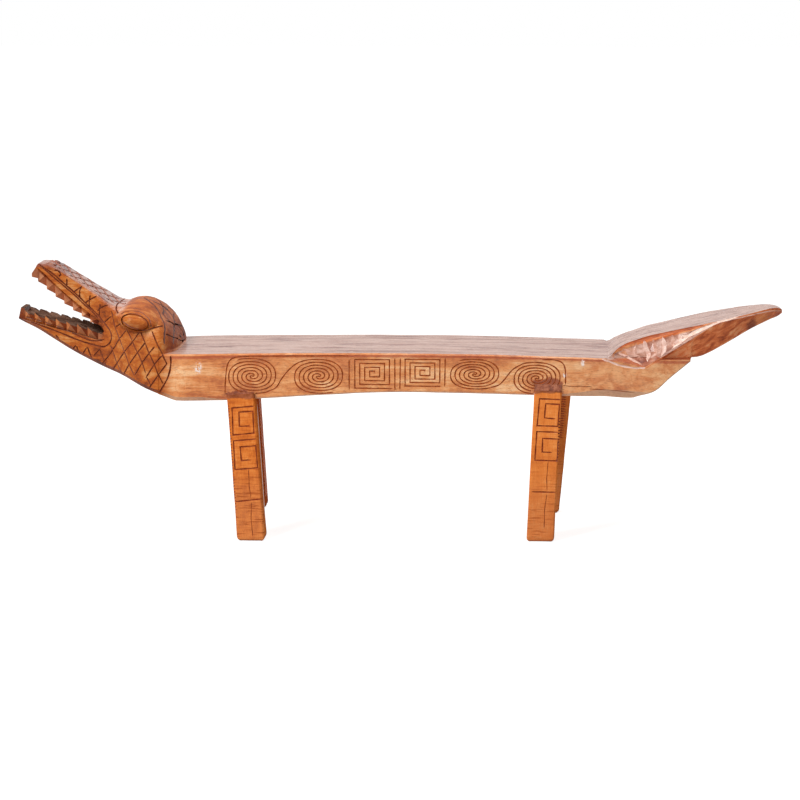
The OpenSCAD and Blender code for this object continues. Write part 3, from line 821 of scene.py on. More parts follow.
def leg_finish():
    """The legs' wood, stained a stronger orange, with its grain along the leg and saw ripple across it."""
    material, start, shader = new_material("leg_wood")
    place = start.node("ShaderNodeTexCoord", {}, {}, "Object")
    fibre, streak, patch, blotch, pore = wood_figure(start, place, ALONG_LEG)
    x, y, z = parts_of(start, place)
    along = parts_of(start, start.node("ShaderNodeTexCoord", {}, {}, "Normal"))[0]
    ripple = noise(start, stretched(start, place, (1, 1, 7)), 26, 3, 0.6)
    tick = noise(start, stretched(start, place, (1, 1, 12)), 24, 2, 0.5)
    figure = (fibre * 0.5 + streak * 0.5).band(0.36, 0.64)
    grain = figure * 0.45 + patch.band(0.34, 0.66) * 0.3 + ripple.band(0.34, 0.66) * 0.25
    colour = ramp(start, grain, *LEG_TONES)
    low = 1 - (z + (patch - 0.5) * 0.08).band(0.05, 0.19)
    colour = colour.blend(low * 0.35, tone(204, 134, 90))
    colour = colour.times(tick.band(0.55, 0.64) * (low * 0.55 + 0.25), tone(168, 112, 90))
    tail_end = x.band(-0.05, 0.05)
    colour = colour.blend(tail_end * 0.25 + 0.15, tone(250, 148, 74))
    # The back leg by the head is painted darker here: painted shade under the seat.
    colour = colour.times(y.band(0.0, 0.06) * (1 - tail_end) * 0.95, tone(200, 152, 132))
    colour = colour.times(low * tail_end * 0.5, tone(222, 206, 214))
    top = tail_end * PASTE_STEP + PASTE_EDGE
    paste = (z - top + (blotch - 0.5) * 0.014).band(0.0, 0.003)
    colour = colour.blend(paste * 0.85, ramp(start, blotch, *PASTE_TONES))
    colour = colour.times(pore.band(0.58, 0.7) * 0.4, tone(150, 92, 62))
    height = fibre * 0.5 + ripple * 0.8 + blotch * 0.4 + paste * blotch
    surface(start, shader, colour, patch * 0.15 + fibre * 0.1 + 0.5, height, RELIEF, RELIEF_DEPTH)
    varnish(shader, LEG_COAT, 0.25)
    # Only the faces towards the sides carry varnish; the flanks are dull
    shader.inputs["Specular IOR Level"].default_value = 0
    ((1 - (along * along).band(0.1, 0.4)) * LEG_COAT).feed(shader, "Coat Weight")
    return material


def filler_finish():
    """Dark filler, dull and lumpy."""
    material, start, shader = new_material("filler")
    place = start.node("ShaderNodeTexCoord", {}, {}, "Object")
    lump, speck = noise(start, place, 90, 4, 0.6), noise(start, place, 420, 3, 0.6)
    height = lump * 0.7 + speck * 0.3
    surface(start, shader, ramp(start, height, *FILLER_TONES), lump * 0.3 + 0.45, height, 0.8, 0.003)
    varnish(shader, 0.15, 0.3)
    return material


leg_wood, filler_paste = leg_finish(), filler_finish()
print("the legs' finish takes", len(leg_wood.node_tree.nodes), "nodes, the filler's",
      len(filler_paste.node_tree.nodes))

# %% [markdown]
# ## The carving on the sides
# Each side carries two pairs of running spirals, each pair joined by an S, and two square frets
# between them, all cut with a narrow gouge. They are common patterns, so they are drawn from a
# rule. A spiral's radius grows evenly with its angle, in and out again as one line, and a fret is
# a square line whose runs grow by equal steps. A shader could draw dark lines instead, but a real
# stroke has a shaded wall and a lit one, and only cut wood shows both. Lines that touch are cut
# in turns, because the Boolean needs a cutter that doesn't run through itself.

# %% Spirals and frets
SQUARENESS = 0.16
POINTS_A_TURN = 40
SQUARE = 4


def from_side(side):
    """Rays that come in level from one side of the bench; a drawn point is (x, z)."""
    return lambda p: (Vector((p[0], side * REACH, p[1])), Vector((0, -side, 0)))


def running_spiral(x, z, half_wide, half_high, turns, end=-60):
    """A line that winds in and out again, squarer further out; it leaves at end degrees."""
    points, count = [], int(turns * POINTS_A_TURN)
    for i in range(-count, count + 1):
        share = abs(i) / count
        angle = math.radians(end + (180 if i < 0 else 0) - 360 * turns * (1 - share))
        round_by = 1 - SQUARENESS * share
        places = [math.copysign(abs(f(angle)) ** round_by, f(angle)) * share for f in (math.cos, math.sin)]
        points.append((x + half_wide * places[0], z + half_high * places[1], 0))
    return points


def square_spiral(x, z, half_wide, half_high, turns, last_run):
    """A square line that grows outwards from its middle; its last run stops short at last_run."""
    sx, sz = 1, 1
    px, pz, points = x, z, []
    steps = turns * SQUARE
    for i in range(steps + 1):
        share = (i + 1) / (steps + 1)
        if i % 2:
            pz, sz = z + sz * half_high * share, -sz
        else:
            px, sx = x + sx * half_wide * share, -sx
        points.append((px, pz, 0))
    return points[:-1] + [(x + last_run, pz, 0)]


def border(x_list, below):
    """A line that keeps the same distance below the seat's edge."""
    return [(x, seat_height(x) - below, 0) for x in x_list]


def pair(first, crossing, second):
    """Two running spirals and the S that leads from one to the other, as one line."""
    return first[:-1] + smoothed([first[-1]] + [(x, z, 0) for x, z in crossing] + [second[0]])[:-1] + second


print("a spiral of three turns is drawn with", len(running_spiral(0, 0, 58, 39.5, 3)), "points")

# %% [markdown]
# ## Cutting the sides
# Now the drawings get their places along the seat, and a border line runs along above them, just
# below the seat's edge. The border's curve at the tail's end touches a spiral, so it is a second
# set, cut once the first is done.

# %% Lines on the side of the seat
LINE_WIDTH, LINE_DEPTH = 2.9, 2.0
BORDER_DROP = 6
wave_left = pair(running_spiral(-311, 357.5, 58, 39.5, 3),
                 [(-258, 333), (-249, 348), (-237, 364), (-225, 377), (-211, 387)],
                 running_spiral(-165, 358, 59, 38.5, 3))
wave_right = pair(running_spiral(176, 366, 59, 33.5, 3),
                  [(229, 343), (242, 356), (251, 368), (263, 380)],
                  running_spiral(312, 358, 56, 36, 3))
frets = [square_spiral(-45, 366.5, 46, 36, 4, 42), square_spiral(65, 370, 46, 33.5, 4, 38)]
left_edge = smoothed([(-371, 317, 0), (-370, 345, 0), (-366, 378, 0), (-357, 394, 0),
                      (-338, seat_height(-338) - BORDER_DROP, 0)])
top_line = left_edge[:-1] + border(range(-338, -97, 20), BORDER_DROP)
right_edge = smoothed([(322, 399, 0), (348, 399, 0), (366, 393, 0), (373, 378, 0), (374, 345, 0)])
dividers = [[(-98, 396, 0), (-98, 329, 0)], [(2, 400, 0), (2, 329, 0)],
            [(14, 400, 0), (13, 330, 0)], [(112, 401, 0), (111, 337, 0)]]
side_sets = [[wave_left, wave_right] + frets + [top_line] + dividers, [right_edge]]
for number, lines in enumerate(side_sets, 1):
    lines = [spaced(line) for line in lines]
    carve(log, both_sides(wood_tree(log), lines, from_side, LINE_WIDTH, LINE_DEPTH), cut_wood,
          f"side_lines_{number}")

# %% [markdown]
# ## Adze marks and a crack
# Behind the head the side was trimmed with three flat cuts that were never smoothed, and by the
# tail a drying crack runs along the grain. Both are strokes of the same kind as the carved lines:
# wide and shallow for the adze, with the wood's own finish, and thin and deep for the crack.

# %% Adze marks on the neck and a crack by the tail
FACET_WIDTH, FACET_DEPTH = 9, 1.3
CRACK_WIDTH, CRACK_DEPTH = 1.6, 2.2
neck_facets = [[(-460, 318, 0), (-460, 346, 0), (-483, 370, 0), (-466, 380, 0)],
               [(-404, 322, 0), (-408, 352, 0)]]
cracks = [[(366, 343, 0), (388, 341, 0), (409, 342, 0), (432, 341, 0)]]
for label, lines, width, depth, finish in (("neck_facets", neck_facets, FACET_WIDTH, FACET_DEPTH, body_wood),
                                           ("cracks", cracks, CRACK_WIDTH, CRACK_DEPTH, cut_wood)):
    lines = [spaced(line) for line in lines]
    carve(log, both_sides(wood_tree(log), lines, from_side, width, depth), finish, label)

# %% [markdown]
# ## The head's scales
# The head's skin is drawn with crossing gouge lines that follow the jaw, with a double line for
# the lips and lids over the eyes. Lines on the flat cheek are drawn as seen level from the side.
# Round the brow and the back of the head the wood turns away, and a level drawing would stretch
# there, so those lines are drawn as the viewer sees them and sent along the viewer's own lines
# of sight. The far side gets the same drawing, mirrored.

# %% How the head's lines are sent at the wood
def head_side(side):
    """Level rays at the head; a drawn point is (how far ahead of the collar, height above the seat)."""
    return lambda p: (Vector((COLLAR - p[0], side * REACH, SEAT_END + p[1])), Vector((0, -side, 0)))


def in_sight(side):
    """Rays from the viewer's eye through a drawing on the middle plane, mirrored for the far side."""
    def aim(p):
        start = EYE / MM
        heading = Vector((COLLAR - p[0], 0, SEAT_END + p[1])) - start
        return Vector((start.x, -side * start.y, start.z)), Vector((heading.x, -side * heading.y, heading.z))
    return aim


def head_top(p):
    """Rays that come down on the snout; a point is (ahead, side)."""
    return Vector((COLLAR - p[0], p[1], SEAT_END + REACH)), Vector((0, 0, -1))


def soft(line, parts=CURVE_PARTS):
    """A soft curve through drawn (ahead, above) points."""
    return smoothed([(p[0], p[1], 0) for p in line], parts)


print("the viewer's rays start", round(-in_sight(NEAR)((0, 0))[0].y * MM, 2), "m from the middle plane")

# %% [markdown]
# ## Drawing the scales
# The cheek carries two sets of strokes that cross like a net. Strokes of one set never touch, so
# each set is one cut. A zigzag runs along the upper jaw, and its strokes are shared out between
# the two sets.

# %% Scale strokes on the cheek and the jaws
down_lines = [[(136, 86), (133, 74), (128, 52), (116, 25), (104, -2), (93, -28), (80, -53)],
              [(97, 48), (85, 27), (78, 11), (68, -6), (61, -21), (53, -44)],
              [(51, -52), (41, -70)],
              [(66, 50), (54, 25), (45, 3), (33, -21), (24, -44), (13, -66)],
              [(39, 50), (28, 27), (18, 7), (10, -10), (4, -22)],
              [(140, 9), (135, -2), (126, -25), (110, -54)],
              [(167, -2), (158, -24), (151, -42)],
              [(196, 2), (186, -24)],
              [(240, 154), (240, 133)], [(206, 138), (211, 128), (212, 110)],
              [(187, 119), (190, 99), (188, 89)], [(164, 100), (165, 90), (167, 73)]]
up_lines = [[(182, -19), (165, 0)],
            [(163, -36), (145, -15), (130, 6), (117, 26), (92, 56)],
            [(136, -46), (106, -3), (84, 23), (65, 49)],
            [(109, -54), (93, -28), (74, -2), (53, 24)],
            [(80, -51), (63, -24), (46, -1), (31, 17)],
            [(53, -54), (33, -24), (15, -3)],
            [(46, -77), (22, -44), (3, -19)],
            [(225, 124), (208, 136)], [(199, 100), (188, 108), (171, 117)],
            [(171, 83), (162, 91), (145, 99)], [(156, 58), (136, 75)], [(127, 51), (104, 68)]]
zigzag = [[(268, 28), (255, 10)], [(254, 14), (240, -2)], [(232, -8), (222, 5)], [(221, 3), (216, -13)],
          [(207, -15), (197, 1)], [(195, -1), (187, -20)]]
print("scale strokes:", len(down_lines) + len(up_lines) + len(zigzag))

# %% [markdown]
# ## Drawing lips, lids and nape
# A double line runs round both jaws, three short curves make the lids, and the brow ends in a deep
# groove that runs down the back of the head, crossed by two rings. Each is drawn in one sweep, as
# the carver would.

# %% Lips, lids, brow and nape
lip_in = [(298, 182), (283, 168), (262, 150), (243, 134), (223, 117), (204, 99), (184, 82), (168, 66)]
lip_out = [(307, 187), (287, 175), (268, 162), (249, 145), (230, 129), (210, 111), (191, 93), (171, 76),
           (155, 58), (141, 42), (137, 28), (143, 13), (160, 4), (191, 9), (221, 18), (264, 35), (307, 50),
           (347, 62)]
collar_line = [(-4, -3), (-4, -24), (3, -52), (22, -86)]
low_lip_in = [(337, 67), (293, 55), (250, 41), (220, 28), (191, 17), (168, 17), (155, 21)]
nostril = [(277, 167), (269, 166), (264, 161), (263, 156), (267, 153)]
lid_outer = [(128, 68), (121, 73), (108, 76), (95, 76), (82, 73), (71, 65), (64, 58), (61, 49), (60, 40)]
lid_inner = [(124, 61), (116, 68), (105, 71), (94, 70), (84, 66), (74, 58), (68, 51), (65, 42), (66, 37)]
lid_low = [(129, 62), (124, 53), (116, 46), (106, 40), (94, 36), (83, 33), (71, 33), (58, 37), (44, 41),
           (33, 43)]
brow_front = [(130, 97), (137, 89), (138, 78), (134, 70)]
brow_rear = [(75, 106), (67, 101), (58, 94), (49, 85), (42, 74), (38, 65), (34, 56), (30, 47), (29, 36),
             (30, 25), (31, 13), (31, 2)]
nape_lines = [[(56, 98), (42, 93), (31, 86), (19, 76), (11, 64), (7, 53), (8, 41), (9, 25), (10, 14),
               (11, 2)],
              [(-7, 27), (-7, 22), (-7, 18)]]
nape_rings = [[(26, 55), (20, 53), (8, 48), (0, 45), (-5, 39), (-11, 30), (-15, 20)],
              [(27, 24), (20, 22), (12, 18), (4, 16), (-4, 12), (-12, 7)]]
NAPE_PARTS = 4
print("the outer lip is drawn with", len(lip_out), "points and cut along", len(soft(lip_out)))

# %% [markdown]
# ## Cutting the head
# The lines are cut in turns, lips first, and a line that meets one already cut follows the new
# surface down into it. The snout's top has a lattice of broad shallow cuts, one set each way.

# %% Carve the head
SCALE_WIDTH, SCALE_DEPTH = 3.3, 2.4
LIP_WIDTH, LIP_DEPTH = 3.8, 3.0
NAPE_WIDTH, NAPE_DEPTH = 5.2, 3.4
INNER = 0.8
SNOUT_WIDTH, SNOUT_DEPTH = 7, 4
SNOUT_FROM, SNOUT_TO, SNOUT_PITCH, SNOUT_HALF, SNOUT_SLANT = 110, 272, 27, 40, 44
scales = [spaced(soft(line)) for line in down_lines + zigzag[::2]]
cross_scales = [spaced(soft(line)) for line in up_lines + zigzag[1::2]]
nape_down, nape_round = [[soft(line, NAPE_PARTS) for line in lines] for lines in (nape_lines, nape_rings)]
# What each set is called, its lines, where its rays come from, its width and depth, and its finish
head_sets = [
    ("lips", [soft(lip_out), soft(collar_line)], head_side, LIP_WIDTH, LIP_DEPTH, head_cut),
    ("inner_lines", [soft(lip_in), soft(low_lip_in)], head_side, SCALE_WIDTH, SCALE_DEPTH, head_cut),
    ("brows", [soft(nostril), soft(brow_front)], in_sight, LIP_WIDTH, LIP_DEPTH, head_cut),
    ("nape_edge", [soft(brow_rear)], in_sight, NAPE_WIDTH, NAPE_DEPTH, nape_cut),
    ("lids", [soft(lid_outer)], in_sight, SCALE_WIDTH, SCALE_DEPTH, head_cut),
    ("lids_low", [soft(lid_low)], in_sight, SCALE_WIDTH, SCALE_DEPTH, head_cut),
    ("lids_inner", [soft(lid_inner)], in_sight, SCALE_WIDTH * INNER, SCALE_DEPTH * INNER, head_cut),
    ("scales_down", scales, head_side, SCALE_WIDTH, SCALE_DEPTH, head_cut),
    ("scales_up", cross_scales, head_side, SCALE_WIDTH, SCALE_DEPTH, head_cut),
    ("nape_down", nape_down, in_sight, NAPE_WIDTH, NAPE_DEPTH, nape_cut),
    ("nape_round", nape_round, in_sight, LIP_WIDTH, LIP_DEPTH, nape_cut),
]
for label, lines, way, width, depth, finish in head_sets:
    carve(log, both_sides(wood_tree(log), lines, way, width, depth), finish, label)
for label, half in (("snout_right", -SNOUT_HALF), ("snout_left", SNOUT_HALF)):
    tree = wood_tree(log)
    lattice = [[(s, half, 0), (s + SNOUT_SLANT, -half, 0)] for s in range(SNOUT_FROM, SNOUT_TO, SNOUT_PITCH)]
    strokes = [(lay(tree, spaced(line), head_top), SNOUT_WIDTH, SNOUT_DEPTH) for line in lattice]
    carve(log, strokes, snout_cut, label)

# %% [markdown]
# ## The scoop beside the tail
# Beside the tail's root the wood was scooped away with a broad gouge. It left ridges between its strokes,
# and their crests catch the light, as do the hollow's edges; that light is painted on them as pale finishes,
# painted highlights, and the shadow under the top edge is painted on as a red band. A ridge is the same
# sweep turned over, with its keel above the wood, and it is joined to the log rather than cut from it.
# Cutting the broad strokes themselves works badly here: in a hollow, a wide flat cutter runs under the
# surface and leaves torn flaps.

# %% Ridges in the scoop, with painted highlights, and a painted shadow band under the top edge
ridges = [[(87, 21), (91, 5), (99, -13), (96, -28)], [(128, 28), (132, 11), (133, -4), (127, -16)],
          [(165, 35), (168, 23), (170, 13)]]
thin_ridges = [[(71, 12), (68, -4), (67, -20)], [(107, 23), (111, 5), (117, -13)],
               [(149, 33), (152, 16), (155, 3)]]
low_ridges = [[(32, -8), (52, -18), (70, -28), (85, -37)], [(42, 1), (60, -10), (78, -20)]]
scoop_crack = [(38, -17), (56, -19), (76, -18), (95, -19)]
body_lip = [(-5, -23), (10, -28), (28, -35), (49, -40), (73, -43), (91, -41)]
top_band = [(23, -5), (39, 6), (57, 14), (87, 23), (116, 31), (146, 39), (175, 45), (219, 55)]
bright = [(150, 2), (173, 20), (190, 34), (205, 43), (219, 49), (240, 57), (263, 65), (287, 73), (310, 80)]
heel_crack = [(-31, -91), (14, -93), (68, -98)]


def by_tail(line):
    """A soft line from (behind the root, above the seat) points, for the rays from the viewer's eye."""
    return smoothed([(COLLAR - ROOT - p[0], p[1], 0) for p in line])


# The pale finishes of scoop_ridges, bright and body_lip are painted highlights, and the red finish of
# top_band is painted shadow.
# What each set is called, its lines, its width and depth, and its finish
tail_sets = [("scoop_ridges", ridges, 9, -2.8, ridge_wood),
             ("thin_ridges", thin_ridges, 8, -1.2, soft_ridge),
             ("low_ridges", low_ridges, 10, -1.6, soft_ridge),
             ("scoop_crack", [scoop_crack], 2, 1.8, head_cut),
             ("bright", [bright], (18, 5), 1.8, edge_highlight),
             ("top_band", [top_band], 9, 1.6, shadow_band),
             ("body_lip", [body_lip], 4, 1.4, ridge_wood),
             ("heel_crack", [heel_crack], CRACK_WIDTH, 2.0, cut_wood)]
# All of them are laid on the smooth wood, before the first is cut
tree = wood_tree(log)
for label, lines, width, depth, finish in tail_sets:
    carve(log, both_sides(tree, [by_tail(line) for line in lines], in_sight, width, depth), finish, label)

# %% [markdown]
# ## Finishing a piece
# Each groove brought its own finish, and the wood that wasn't cut still has an empty place for
# one. It is filled now.

# %% Finish the log
SHARP = 20


def finish_piece(piece, finish, node_name):
    """Give the piece's uncut wood a finish, round its shading, hang it under the bench's root and hide the
    imported node it replaces.
    """
    if piece.data.materials:
        piece.data.materials[list(piece.data.materials).index(None)] = finish
    else:
        piece.data.materials.append(finish)
    pick(piece)
    bpy.ops.object.shade_smooth_by_angle(angle=math.radians(SHARP))
    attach(piece, "root")
    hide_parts(node_name)
    print(piece.name, "has the finishes", [m.name for m in piece.data.materials])


finish_piece(log, body_wood, "carved_body")

# %% [markdown]
# ## Legs
# Each leg is a sawn post let into the log's underside and splayed outwards, with a square fret, a
# row of small nicks and, on the back legs, a ladder of cuts. The fret is one drawing for all four
# legs, so each leg gets a frame of its own, from which the rays are sent at its faces. The
# corners are softened with a bevel and the faces wander by a slow cloud pattern, because a post
# with dead straight edges looks moulded, not sawn.

# %% Where each leg stands
LEG_WIDE, LEG_THICK, LEG_PROUD, LEG_HOUSED = 60, 52, 12, 10
SEAT_THICK = 85
# How much lower the underside lies by the head and by the tail than under the crown
BELLY = {True: 25, False: 6}
# Each leg's side and end, then its spread in millimetres and its splay and lean in degrees
LEGS = {"leg_head_front": (NEAR, -1, 672, 8, 4.6), "leg_head_back": (FAR, -1, 720, 8, 2.5),
        "leg_tail_front": (NEAR, 1, 672, 2.5, 2.5), "leg_tail_back": (FAR, 1, 720, 5, 5)}


def underside(x):
    """Height of the seat's underside at x."""
    run = from_crown(x)
    return SEAT_TOP - SEAT_THICK - BELLY[x < CROWN] * run * run * (3 - 2 * run)


def leg_frame(side, end, spread, splay, lean):
    """From a leg's own place, Z down it from the middle of its top, to the bench's."""
    x = end * spread / 2
    y = side * (HALF_WIDTH + LEG_PROUD - LEG_THICK / 2)
    leaning = Matrix.Rotation(math.radians(end * lean), 4, "Y")
    splayed = Matrix.Rotation(math.radians(side * splay), 4, "X")
    return Matrix.Translation((x, y, underside(x) + LEG_HOUSED)) @ (leaning @ splayed)


stands = {name: leg_frame(*fit) for name, fit in LEGS.items()}
print("tops of the legs:", {name: [round(c) for c in stand.translation] for name, stand in stands.items()})

# %% [markdown]
# ## Shaping a leg
# The foot's edges are rounded by a bevel of the bottom face, and a Bevel modifier takes the
# sharpness off the long corners, as wear does. Then the post is sliced and hewn as the log was.
# Flat faces are joined first, because a bevel can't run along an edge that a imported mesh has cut
# into triangles.

# %% Shape a leg
FOOT_ROUND, FOOT_STEPS, SOLE = 9, 3, 1
CORNER_ROUND, CORNER_STEPS, CORNER_ANGLE = 1.6, 2, 35
LEG_STRIP, LEG_MARGIN, LEG_TOP = 14, 12, 330
LEG_HEW_SIZE, LEG_HEW_HEIGHT = 55, 1.4
WHOLE_BENCH = 900


def shaped_leg(name):
    """A copy of a packed leg with a rounded foot, softened corners and hewn faces."""
    leg = copy_of(name, name + "_carved")
    pick(leg)
    bpy.ops.object.mode_set(mode="EDIT")
    bpy.ops.mesh.select_all(action="SELECT")
    bpy.ops.mesh.dissolve_limited(angle_limit=math.radians(1))
    bpy.ops.mesh.select_mode(type="FACE")
    bpy.ops.mesh.select_all(action="DESELECT")
    bpy.ops.object.mode_set(mode="OBJECT")
    for face in leg.data.polygons:
        face.select = face.center.z < SOLE * MM
    bpy.ops.object.mode_set(mode="EDIT")
    bpy.ops.mesh.bevel(offset=FOOT_ROUND * MM, segments=FOOT_STEPS)
    bpy.ops.object.mode_set(mode="OBJECT")
    soften = leg.modifiers.new("soft corners", "BEVEL")
    soften.width, soften.segments = CORNER_ROUND * MM, CORNER_STEPS
    soften.limit_method, soften.angle_limit = "ANGLE", math.radians(CORNER_ANGLE)
    apply(leg, soften)
    saw(leg, 2, range(LEG_MARGIN, LEG_TOP, LEG_STRIP), -WHOLE_BENCH, WHOLE_BENCH)
    low, high = leg.bound_box[0][0] / MM, leg.bound_box[6][0] / MM
    saw(leg, 0, range(int(low) + LEG_MARGIN, int(high), LEG_STRIP), -WHOLE_BENCH, WHOLE_BENCH)
    hew(leg, LEG_HEW_SIZE, LEG_HEW_HEIGHT)
    return leg


legs = {name: shaped_leg(name) for name in LEGS}
print("shaped legs:", {name: triangles(leg) for name, leg in legs.items()}, "triangles")

# %% [markdown]
# ## Strokes on a leg
# A leg's drawing is given across its face and down from its top. The same drawing is fitted to
# each leg by a small stretch and shift, because no two legs were carved alike. A nick is four
# points laid over a long corner, where a ray would slip off.

# %% Draw on a leg
AIM_FROM = 40
CORNER_GAP, NICK_INSET = 2.5, 1.5
# How the fret is fitted at each end: stretch across, shift across, shift down
FRET_FIT = {-1: (1.1, 2, 13), 1: (1.07, 4, 1)}


def leg_face(stand, side):
    """Rays that come straight at a leg's outer face; a drawn point is (across, down from the top)."""
    return lambda p: (stand @ Vector((p[0], side * (LEG_THICK / 2 + AIM_FROM), -p[1])),
                      stand.to_3x3() @ Vector((0, -side, 0)))


def leg_flank(stand):
    """Rays at a leg's flank from the tail's side; a drawn point is (along the flank, down from the top)."""
    return lambda p: (stand @ Vector((LEG_WIDE / 2 + AIM_FROM, p[0], -p[1])),
                      stand.to_3x3() @ Vector((-1, 0, 0)))


def fitted(line, end):
    """A line drawn for a leg's face, fitted to the legs of this end and kept off their long corners."""
    grow, shift, drop = FRET_FIT[end]
    return spaced([(min(p[0] * grow + shift, LEG_WIDE / 2 - CORNER_GAP), p[1] + drop, 0) for p in line])


def nick(stand, end, side, down, reach):
    """A short cut over a leg's long corner, as four laid points."""
    corner = Vector((end * (LEG_WIDE / 2 - NICK_INSET), side * (LEG_THICK / 2 - NICK_INSET), -down))
    out = Vector((end, side, 0)).normalized()
    along = Vector((-end, side, 0)).normalized() * reach
    return [(stand @ (corner + along * s), stand.to_3x3() @ out) for s in (-1, -0.4, 0.4, 1)]


first_ray = leg_face(stands["leg_head_front"], NEAR)((0, 0))
print("a ray at the first leg starts at", [round(c) for c in first_ray[0]], "mm")

# %% [markdown]
# ## Carving the legs
# Each leg has its fret, a split that runs down from it, and nicks on one long corner. The back legs have a
# ladder of cuts too, on the flank by the head and on the inner face by the tail. It is cut in two turns, so
# that neighbours don't touch. The front leg by the head has one pale edge, a painted highlight.

# %% Carve the legs
LEG_FRET = [[(14, 58), (-8, 57), (-7, 26), (21, 26), (20, 74), (-22, 75), (-20, 16), (25, 15)],
            [(11, 132), (-9, 132), (-9.5, 102), (22, 102), (22.5, 150), (-23, 151), (-22, 88), (26, 87)],
            [(-27, 221), (26, 219)]]
LEG_SPLIT = [[(4, 152), (3, 190), (5, 217)], [(5, 224), (2, 260), (3, 300)]]
FRET_WIDTH, FRET_DEPTH = 3.2, 2.2
SPLIT_WIDTH, SPLIT_DEPTH = 1.5, 1.3
# Nicks at each end: first, how many, reach, width, depth; and the ladder: first, how many, pitch, width
NICKS, NICK_GAP = {-1: (24, 36, 4.2, 3.4, 2.2), 1: (58, 14, 3.6, 3.2, 2.0)}, 6.5
LADDER, LADDER_DEPTH, RUNG = {-1: (20, 36, 7.6, 5.0), 1: (18, 24, 5.6, 4.0)}, 2.4, 22
EDGE_BAND, EDGE_DEPTH, EDGE_INSET, EDGE_RUN = 13, 0.9, 2, range(20, 300, 10)
for name, leg in legs.items():
    side, end = LEGS[name][:2]
    stand, tree = stands[name], wood_tree(leg)
    aim = leg_face(stand, side)
    frets = [(lay(tree, fitted(line, end), aim), FRET_WIDTH, FRET_DEPTH) for line in LEG_FRET]
    carve(leg, frets, leg_cut, name + "_fret")
    first, count, reach, width, depth = NICKS[end]
    nicks = [(nick(stand, end, side, first + NICK_GAP * i, reach), width, depth) for i in range(count)]
    splits = [(lay(tree, fitted(line, end), aim), SPLIT_WIDTH, SPLIT_DEPTH) for line in LEG_SPLIT]
    carve(leg, splits + nicks, leg_cut, name + "_nicks")
    if side == FAR:
        first, count, pitch, width = LADDER[end]
        way = leg_flank(stand) if end < 0 else leg_face(stand, -side)
        for turn in (0, 1):
            heights = [first + pitch * i for i in range(turn, count, 2)]
            rungs = [[(-RUNG, down, 0), (RUNG, down, 0)] for down in heights]
            carve(leg, [(lay(tree, spaced(rung), way), width, LADDER_DEPTH) for rung in rungs],
                  hatch_cut, f"{name}_ladder_{turn}")
    elif end < 0:
        # The pale band on this leg's flank is a painted highlight along its edge.
        across = -side * (LEG_THICK / 2 - EDGE_BAND / 2 - EDGE_INSET)
        edge_line = lay(tree, [(across, down, 0) for down in EDGE_RUN], leg_flank(stand))
        carve(leg, [(edge_line, EDGE_BAND, EDGE_DEPTH)], leg_edge_highlight, name + "_edge")
    finish_piece(leg, leg_wood, name)

# %% [markdown]
# ## Filler
# The joint between log and leg is packed with a dark paste, pressed in by hand and left lumpy. The
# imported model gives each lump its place. Here it is cut finer and moved in and out by two cloud
# patterns, a broad one for the lumps and a fine one for the crumbs. Metaballs would give softer
# lumps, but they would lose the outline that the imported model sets.

# %% Lumpy filler over the tops of the legs
# The share of its height that the filler keeps: less by the head, where it was rubbed down
KEPT = {True: 0.4, False: 0.9}
LUMP_CUTS = 11
# How broad and how high the lumps are, and the crumbs on them
LUMPS, CRUMBS = (16, 4.5), (6, 2.5)
for name in [n for n in sorted(nodes) if n.startswith("filler")]:
    lump = copy_of(name, name + "_lump")
    pick(lump)
    bpy.ops.object.mode_set(mode="EDIT")
    bpy.ops.mesh.select_all(action="SELECT")
    bpy.ops.mesh.subdivide(number_cuts=LUMP_CUTS, smoothness=0)
    foot = Vector(lump.bound_box[0])
    bpy.ops.transform.resize(value=(1, 1, KEPT["head" in name]), center_override=foot)
    bpy.ops.object.mode_set(mode="OBJECT")
    hew(lump, *LUMPS)
    hew(lump, *CRUMBS)
    finish_piece(lump, filler_paste, name)

# %% [markdown]
# ## The studio
# The bench stands on a white sheet in a white room. Both look white to the camera and in
# reflections, yet they light the bench only as a pale room would: the Light Path node tells the
# two apart. A brighter lamp would whiten the background as well, but it would wash out the wood.

# %% Sheet and room
SHEET_SIZE, SHEET_GREY, SHEET_GLOW = 60, 0.5, 0.8
AMBIENT = 0.5
WHITE = (1, 1, 1, 1)


def looked_at(start):
    """1 where the camera or a reflection looks, 0 for light on its way to the bench."""
    return (start.node("ShaderNodeLightPath", {}, {}, "Is Camera Ray")
            + start.node("ShaderNodeLightPath", {}, {}, "Is Glossy Ray"))


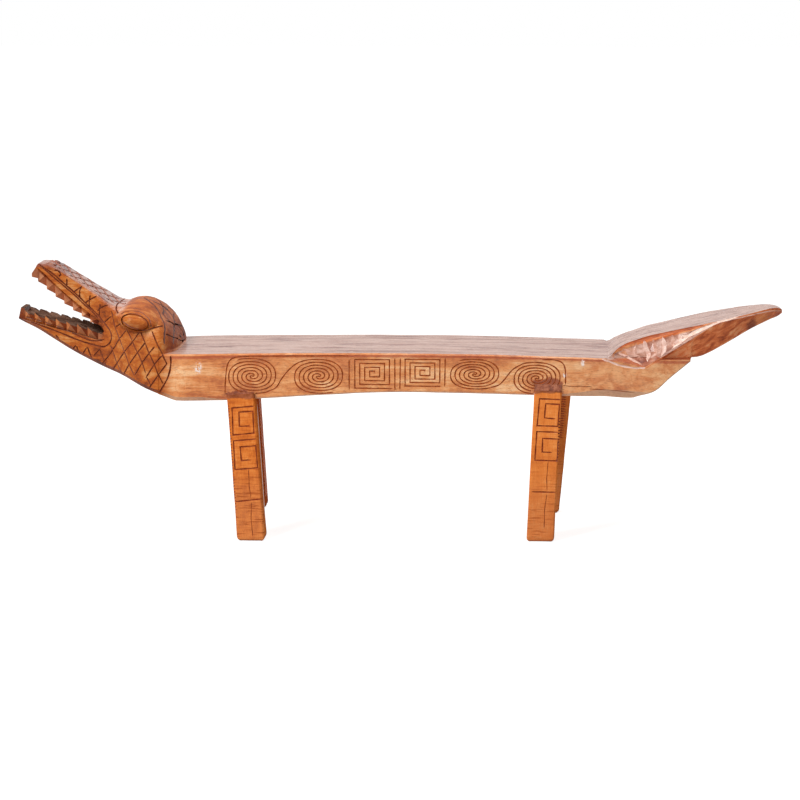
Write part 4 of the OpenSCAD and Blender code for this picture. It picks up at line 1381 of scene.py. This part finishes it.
bpy.ops.object.select_all(action="DESELECT")
bpy.ops.mesh.primitive_plane_add(size=SHEET_SIZE, location=(0, 0, 0))
sheet = bpy.context.object
sheet.name = "floor"
pale, start, shader = new_material("pale_floor")
shader.inputs["Base Color"].default_value = (SHEET_GREY, SHEET_GREY, SHEET_GREY, 1)
shader.inputs["Roughness"].default_value = 1
shader.inputs["Specular IOR Level"].default_value = 0
white = start.node("ShaderNodeEmission", {}, {"Color": WHITE, "Strength": looked_at(start) * SHEET_GLOW})
show(start.node("ShaderNodeAddShader", {}, {0: Wire(start.tree, shader.outputs[0]), 1: white}))
sheet.data.materials.append(pale)

world = bpy.data.worlds.new("studio")
bpy.context.scene.world = world
world.use_nodes = True
world.node_tree.nodes.clear()
sky = Wire(world.node_tree)
strength = looked_at(sky).band(0.0, 1.0) * (1 - AMBIENT) + AMBIENT
back = sky.node("ShaderNodeBackground", {}, {"Color": WHITE, "Strength": strength})
back.feed(world.node_tree.nodes.new("ShaderNodeOutputWorld"), "Surface")
print("the sheet is", SHEET_SIZE, "m wide, and the room's light is", AMBIENT)

# %% [markdown]
# ## Lamps and camera
# One large soft lamp stands at the viewer's left, as a window would, and a weaker one hangs
# overhead to open the shadows. The camera stands where the viewer's eye is. A long lens keeps the
# log's edges nearly parallel; a short one close by would make the head look too large.

# %% Lamps and camera
LIT = Vector((0, 0, 0.35))
SENSOR, LENS = 36, 124.56


def lamp(name, place, size, power):
    """A round soft lamp that looks at the middle of the bench."""
    light = bpy.data.lights.new(name, "AREA")
    light.shape, light.size, light.energy = "DISK", size, power
    made = bpy.data.objects.new(name, light)
    made.location = place
    made.rotation_euler = (LIT - Vector(place)).to_track_quat("-Z", "Y").to_euler()
    bpy.context.scene.collection.objects.link(made)


lamp("window", place=(-2.6, -3.4, 3.6), size=1.8, power=190)
lamp("overhead", place=(0.6, 0.2, 3.4), size=2.0, power=40)
camera = bpy.data.objects.new("camera", bpy.data.cameras.new("camera"))
camera.data.sensor_width = SENSOR
camera.data.lens = LENS
camera.location = EYE
camera.rotation_euler = (math.pi / 2 - TILT, 0, TURN)
bpy.context.scene.collection.objects.link(camera)
bpy.context.scene.camera = camera
bpy.context.scene.view_settings.view_transform = "Standard"
print("the camera sees", round(SENSOR / LENS * AWAY, 2), "m across at the bench")

# %% [markdown]
# ## Update the scene
# A dressed piece may be hardly larger than the imported one, because others plan round its size.

# %% Update the scene
bpy.context.view_layer.update()
